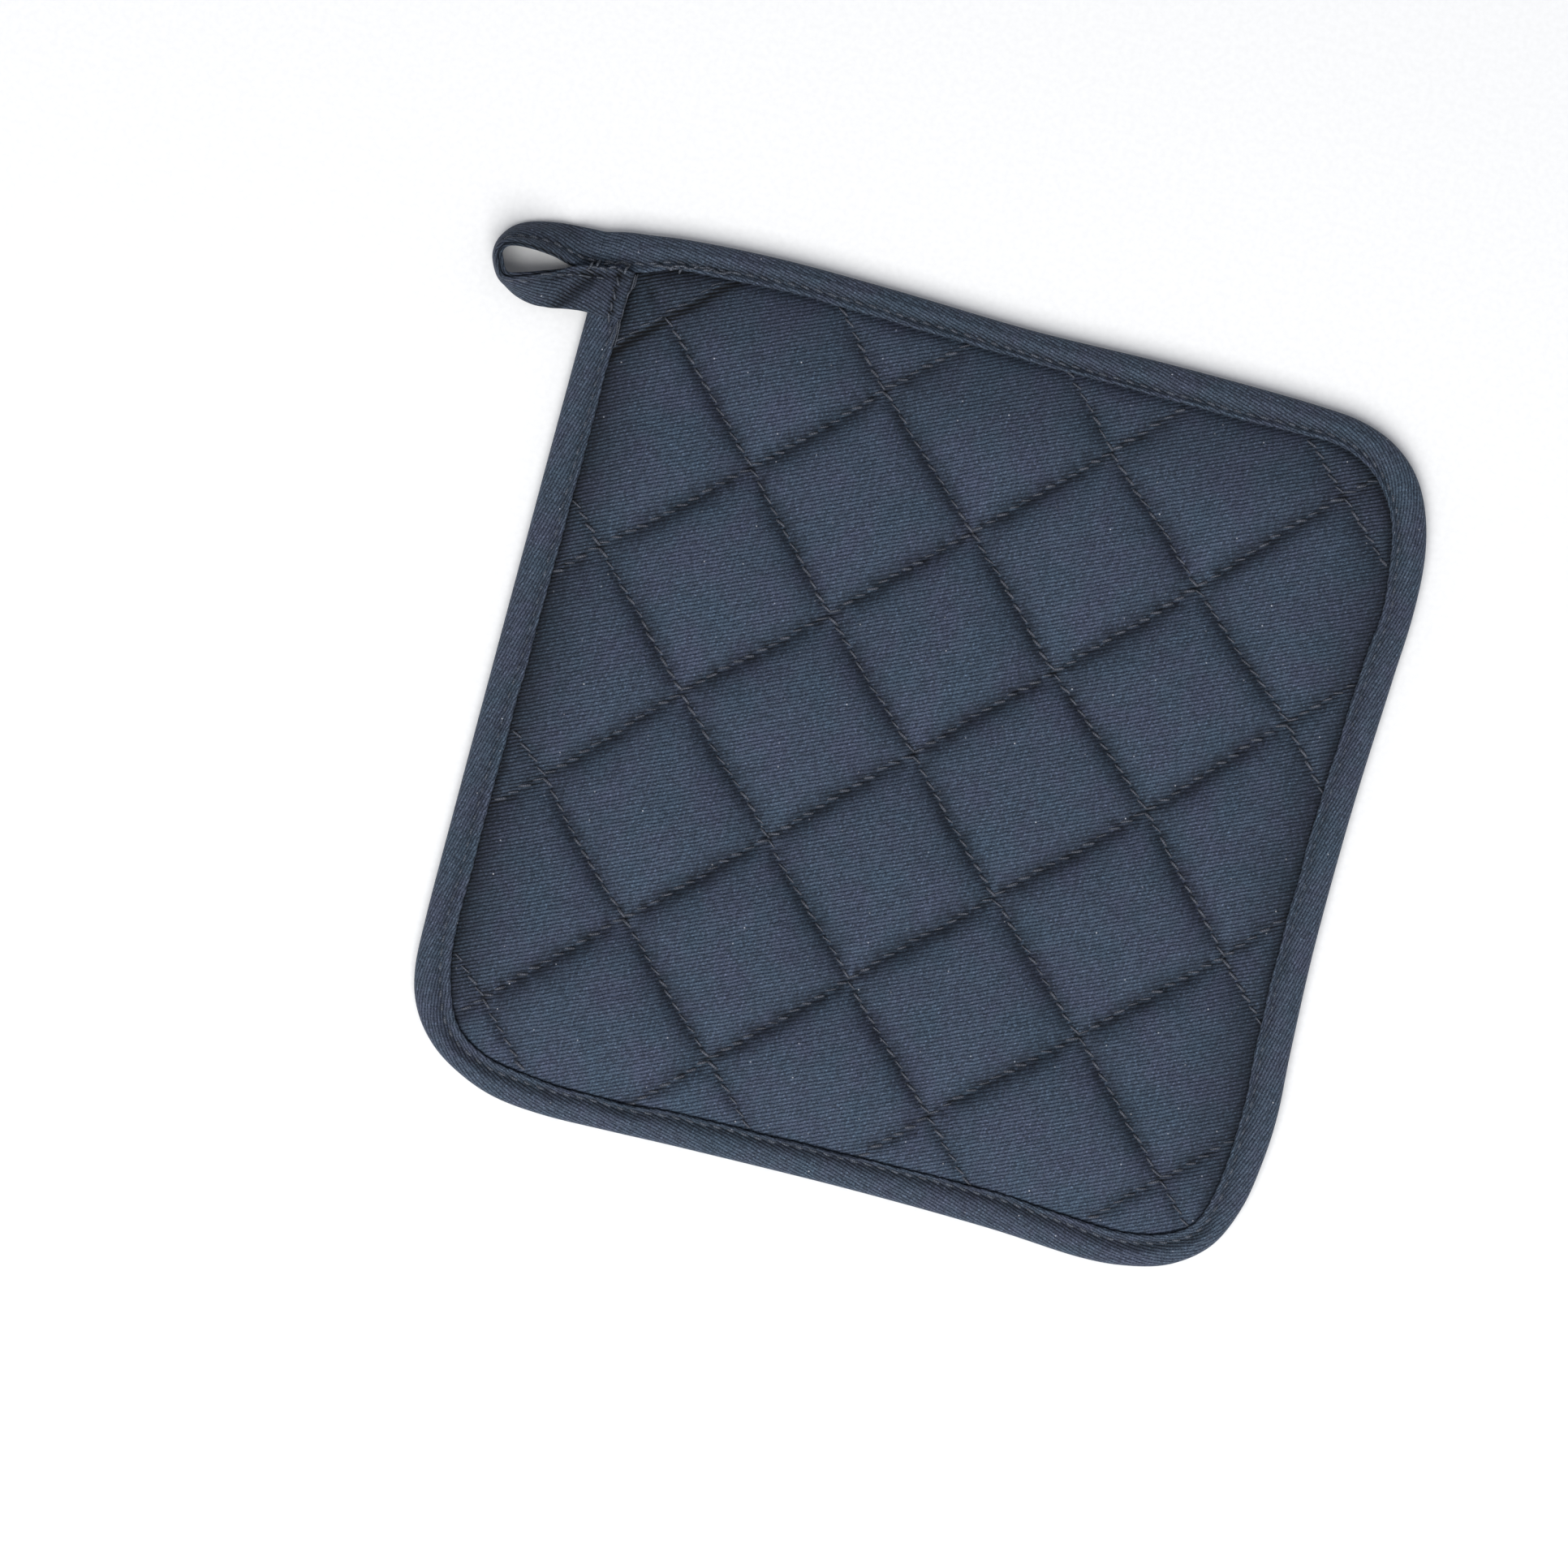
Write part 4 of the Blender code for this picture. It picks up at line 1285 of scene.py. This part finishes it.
@dataclass
class ThreadWork:
    """Stitches of one thread, gathered and made into one mesh."""

    name: str
    finish: SpunThread
    radius: float = 0.2
    sides: int = 6
    stretch: float = 7.3         # mm of yarn between one stitch's look and the next's
    runs: list[tuple[np.ndarray, float]] = field(default_factory=list)

    def add(self, stitches: np.ndarray, size: float = 1.0) -> None:
        """Gather stitches of one size, by stitch, place along it and coordinate."""
        if len(stitches):
            self.runs.append((np.asarray(stitches, dtype=float), size))

    def build(self, slot: str) -> bpy.types.Object:
        """Make every gathered stitch a thin tube with tapered ends.

        Args:
            slot: not used.

        Returns:
            The dressed piece.
        """
        points, faces, weave, base = [], [], [], 0
        turns = np.arange(self.sides) * math.tau / self.sides
        for run, size in self.runs:
            count, length = run.shape[:2]
            travel = unit(np.gradient(run, axis=1))
            aside = unit(np.cross(travel, (0.0, 0.0, 1.0)))
            upward = np.cross(aside, travel)
            taper = 1 - 0.45 * np.linspace(-1, 1, length) ** 6
            reach = size * self.radius * taper[None, :, None, None]
            ring = (aside[:, :, None] * np.cos(turns)[:, None]
                    + upward[:, :, None] * np.sin(turns)[:, None])
            places = run[:, :, None] + ring * reach
            points.append(places.reshape(-1, 3))
            # Each stitch shows another stretch of the yarn
            distance = run_length(run) + self.stretch * np.arange(count)[:, None]
            laid = np.zeros(places.shape)
            laid[..., 0] = distance[:, :, None]
            laid[..., 1] = turns
            weave.append(laid.reshape(-1, 3))
            number = base + np.arange(count * length * self.sides).reshape(
                count, length, self.sides)
            faces += ring_quads(number).reshape(-1, 4).tolist()
            faces += number[:, 0, ::-1].tolist() + number[:, -1].tolist()
            base += number.size
        piece = make_piece(self.name, np.vstack(points), faces, np.vstack(weave),
                           self.finish.material())
        return piece


@dataclass
class Sewing:
    """Every line of stitches on the pot holder."""

    front: QuiltedFront
    binding: Binding
    loop: HangingLoop
    arch: np.ndarray = field(default_factory=lambda: np.linspace(-1, 1, 7))

    def quilting(self) -> bpy.types.Object:
        """Stitch both families of lines.

        Returns:
            One piece with all the quilting thread.
        """
        work = ThreadWork("quilting_stitches", QUILTING_THREAD, radius=0.26)
        draw = np.random.default_rng(71)
        starts = np.arange(-1, LINE_COUNT + 0.5, 1 / self.front.stitches)[:, None]
        # Long stitches on the lines down to the right, short slanting ones on the others
        for run, visible, slant, bow in ((LineRun.DOWN, 0.92, 0.36, 0.0),
                                         (LineRun.UP, 0.8, 0.48, 0.1)):
            for line in range(LINE_COUNT):
                # The corner line is a fold with its thin thread drawn out along it
                fold = run is LineRun.UP and line == 0
                lean, spread, thin, slide = (0.5, 2.5, 0.6, 0.3) if fold else (1, 1, 1, 0)
                start = starts + draw.uniform(-0.006, 0.006, starts.shape)
                half = (0.8 if fold else visible) / 2 / self.front.stitches
                half = half * draw.uniform(0.88, 1.08, starts.shape)
                travel = start + 0.5 / self.front.stitches + half * self.arch
                lean = lean * slant * draw.uniform(0.6, 1.4, starts.shape)
                stray = spread * draw.uniform(-0.12, 0.12, starts.shape)
                aside = lean * self.arch + stray - bow - slide
                places, face = self.front.seam_places(run, line, travel, aside)
                places[..., 2] += 0.34 - 0.15 * self.arch ** 2 - 0.6 * self.arch ** 6
                # Beyond the fold the other line's thread has sunk into the cloth
                beyond = (face.y - face.x > CORNER_FOLD).any(axis=1)
                shown = (face.depth.min(axis=1) > -0.8) & (fold | ~beyond)
                weight = draw.integers(0, 3, len(shown))
                for number, size in enumerate((0.75, 0.95, 1.2)):
                    work.add(places[shown & (weight == number)], size * thin)
        return work.build("front_twill")

    def binding_line(self) -> bpy.types.Object:
        """Stitch the binding through, and the loop's inner edge.

        Returns:
            One piece with all the thread in the tape.
        """
        work = ThreadWork("binding_stitches", BINDING_THREAD, radius=0.28)
        draw = np.random.default_rng(72)
        # Bare tape at both ends of each run, where the loop's end covers it or is sewn
        for run, first, last in ((self.binding, 12.0, 0.0), (self.loop, 1.0, 24.0)):
            tape, pitch = run.tape, run.stitch
            middles = np.arange(tape.along[0] + first, tape.along[-1] - last, pitch)
            middles = middles + 0.5 * pitch
            middles -= (middles[0] - tape.along[0]) % pitch - 0.5 * pitch
            middles = middles[:, None]
            for side in TapeFace:
                half = pitch * 0.31 * draw.uniform(0.85, 1.12, middles.shape)
                aside = 0.18 * self.arch * draw.uniform(0.5, 1.5, middles.shape)
                places = tape.seam_places(side, middles + half * self.arch, aside)
                places[..., 2] -= 0.36 * self.arch ** 6 * side.value
                work.add(places)
        return work.build("binding_tape")


@dataclass
class LoopEnd:
    """Rough work where the loop is sewn down: bar, cross seam, overlaps and loose yarn."""

    under: list[bpy.types.Object]    # pieces that the thread lies on
    points: np.ndarray = field(init=False)

    def __post_init__(self) -> None:
        """Gather the cloth's points round the loop's end."""
        found = []
        for piece in self.under:
            values = np.zeros(len(piece.data.vertices) * 3)
            piece.data.vertices.foreach_get("co", values)
            found.append(values.reshape(-1, 3) / MM)
        points = np.vstack(found)
        self.points = points[(points[:, 0] < -60) & (points[:, 1] > 68)]

    def laid(self, plan: np.ndarray, lift: float) -> np.ndarray:
        """Lay plan places on the cloth.

        Args:
            plan: x and y, by stitch and place along it.
            lift: height of the thread's middle above the cloth.

        Returns:
            Positions in mm.
        """
        flat = plan.reshape(-1, 2)
        levels = []
        for x, y in flat:
            gaps = np.hypot(self.points[:, 0] - x, self.points[:, 1] - y)
            levels.append(self.points[gaps < max(0.6, gaps.min() + 0.2), 2].max())
        return np.column_stack([flat, np.array(levels) + lift]).reshape(*plan.shape[:2], 3)

    def stitch(self, work: ThreadWork, rows: list | tuple, rng: np.random.Generator,
               lift: float, sizes: tuple[float, ...] = (1.0,), dip: float = 0.25) -> None:
        """Add stitches that bow a little between their ends.

        Args:
            work: gathers the stitches.
            rows: start x, start y, end x and end y of each stitch.
            rng: draws the bows.
            lift: height of the thread's middle above the cloth.
            sizes: thicknesses that the stitches take in turn.
            dip: how far their ends go down.
        """
        share = np.linspace(0, 1, 7)
        ends = np.array(rows, dtype=float)
        start, end = ends[:, None, :2], ends[:, None, 2:]
        bow = rng.normal(0, 0.12, (len(rows), 1, 2)) * np.sin(math.pi * share)[:, None]
        places = self.laid(start + (end - start) * share[:, None] + bow, lift)
        places[..., 2] -= dip * np.linspace(-1, 1, 7) ** 4
        for number, size in enumerate(sizes):
            work.add(places[number::len(sizes)], size)

    def build(self) -> bpy.types.Object:
        """Place all the thread and yarn.

        Returns:
            The dressed piece.
        """
        rng = np.random.default_rng(73)
        work = ThreadWork("loop_end_stitches", BINDING_THREAD, radius=0.24)
        cross = [(-97.0 + rng.normal(0, 0.12), top, -96.3 + rng.normal(0, 0.15), top - 1.9)
                 for top in CROSS_TOPS]
        bar = [(x, y, x + rng.uniform(1.2, 2.2), y + rng.uniform(-0.5, 0.9))
               for x, y in BAR_STARTS]
        for rows, size, lift in ((cross, 1.0, 0.12), (bar, 1.0, 0.16),
                                 (STEEP_STITCHES, 1.1, 0.2), (LOWER_STITCHES, 0.9, 0.17)):
            self.stitch(work, rows, rng, lift, (size,))
        # The seam round the pad starts and ends over itself beside the loop
        starts = np.arange(-89.5, -73.0, 1.15)
        level = np.interp(starts, (-89, -85, -80, -75), (95.0, 95.8, 96.9, 97.5))
        over = [(x, y + rng.uniform(-0.5, 0.4), x + rng.uniform(0.7, 2.2),
                 y + 0.3 + rng.uniform(-0.6, 0.5)) for x, y in zip(starts, level)]
        self.stitch(work, over, rng, 0.18, (1.2, 0.9), dip=0.3)
        # Yarns worked loose from the tape's cut end hang down beside it
        down = np.linspace(0, 1, 18)
        for start, end, size in LOOSE_YARNS:
            plan = np.outer(1 - down, start) + np.outer(down, end)
            plan[:, 0] += Unevenness(5.0, int(start[1] * 10)).at(plan[:, 1]) * 0.16
            work.add(self.laid(plan[None], 0.1), size)
        return work.build("loop_tape")


@dataclass
class Studio:
    """Pale floor, soft light and the camera straight above the pad."""

    height: float = 1.4
    view_width: float = 0.3671   # of the picture, on the pad's upper side
    view_level: float = 0.004
    turn: float = 14.5           # degrees, of the picture against the pad
    centre: tuple[float, float] = (-0.02974, -0.01476)
    sensor: float = 36.0
    floor_reach: float = 6.0
    lamp_reach: float = 1.9      # from the pad to a light

    def floor(self) -> None:
        """Lay the paper that everything rests on."""
        mesh = bpy.data.meshes.new("background_paper")
        corners = [(x * self.floor_reach, y * self.floor_reach, 0)
                   for x, y in ((-1, -1), (1, -1), (1, 1), (-1, 1))]
        mesh.from_pydata(corners, [], [(0, 1, 2, 3)])
        mesh.materials.append(PaperSweep().material())
        add_object("background_paper", mesh)

    def camera(self) -> None:
        """Set the camera so that the picture covers the measured width."""
        data = bpy.data.cameras.new("camera")
        data.sensor_width = self.sensor
        data.lens = self.sensor * (self.height - self.view_level) / self.view_width
        camera = add_object("camera", data)
        camera.location = (*self.centre, self.height)
        camera.rotation_euler = (0.0, 0.0, math.radians(self.turn))
        bpy.context.scene.camera = camera

    def light(self, name: str, bearing: float, climb: float, size: float,
              power: float) -> None:
        """Hang one soft light.

        Args:
            name: name of the light.
            bearing: degrees round from the X axis.
            climb: degrees above the floor.
            size: side of the light, in metres.
            power: in watts.
        """
        data = bpy.data.lights.new(name, "AREA")
        data.size = size
        data.energy = power
        lamp = add_object(name, data)
        turn, rise = math.radians(bearing), math.radians(climb)
        direction = Vector((math.cos(turn) * math.cos(rise), math.sin(turn) * math.cos(rise),
                            math.sin(rise)))
        lamp.location = direction * self.lamp_reach
        lamp.rotation_euler = direction.to_track_quat("Z", "Y").to_euler()

    def build(self) -> None:
        """Set up floor, camera and light."""
        self.floor()
        self.camera()
        self.light("soft_key", bearing=-90.0, climb=57.0, size=1.6, power=41.0)
        world = bpy.data.worlds.new("pale_room")
        world.use_nodes = True
        fill_sockets(world.node_tree.nodes["Background"],
                     {"Color": linear_colour("#F1F3FB"), "Strength": 0.43})
        bpy.context.scene.world = world
        bpy.context.scene.view_settings.view_transform = "Standard"


def main() -> None:
    """Build the pot holder's pieces and the studio, and report each one."""
    logging.basicConfig(level=logging.INFO, format="%(message)s")
    Studio().build()
    outline = PadOutline()
    front = QuiltedFront(outline)
    binding = Binding()
    loop = HangingLoop(binding.tape)
    sewing = Sewing(front, binding, loop)
    padded, back = front.build(), BackPanel(outline).build()
    bound, looped = binding.build(), loop.build()
    quilting, line = sewing.quilting(), sewing.binding_line()
    rough = LoopEnd([padded, bound, looped]).build()
    for piece in (padded, back, bound, looped, quilting, line, rough):
        LOG.info("%s: %d faces", piece.name, len(piece.data.polygons))


if __name__ == "__main__":
    main()
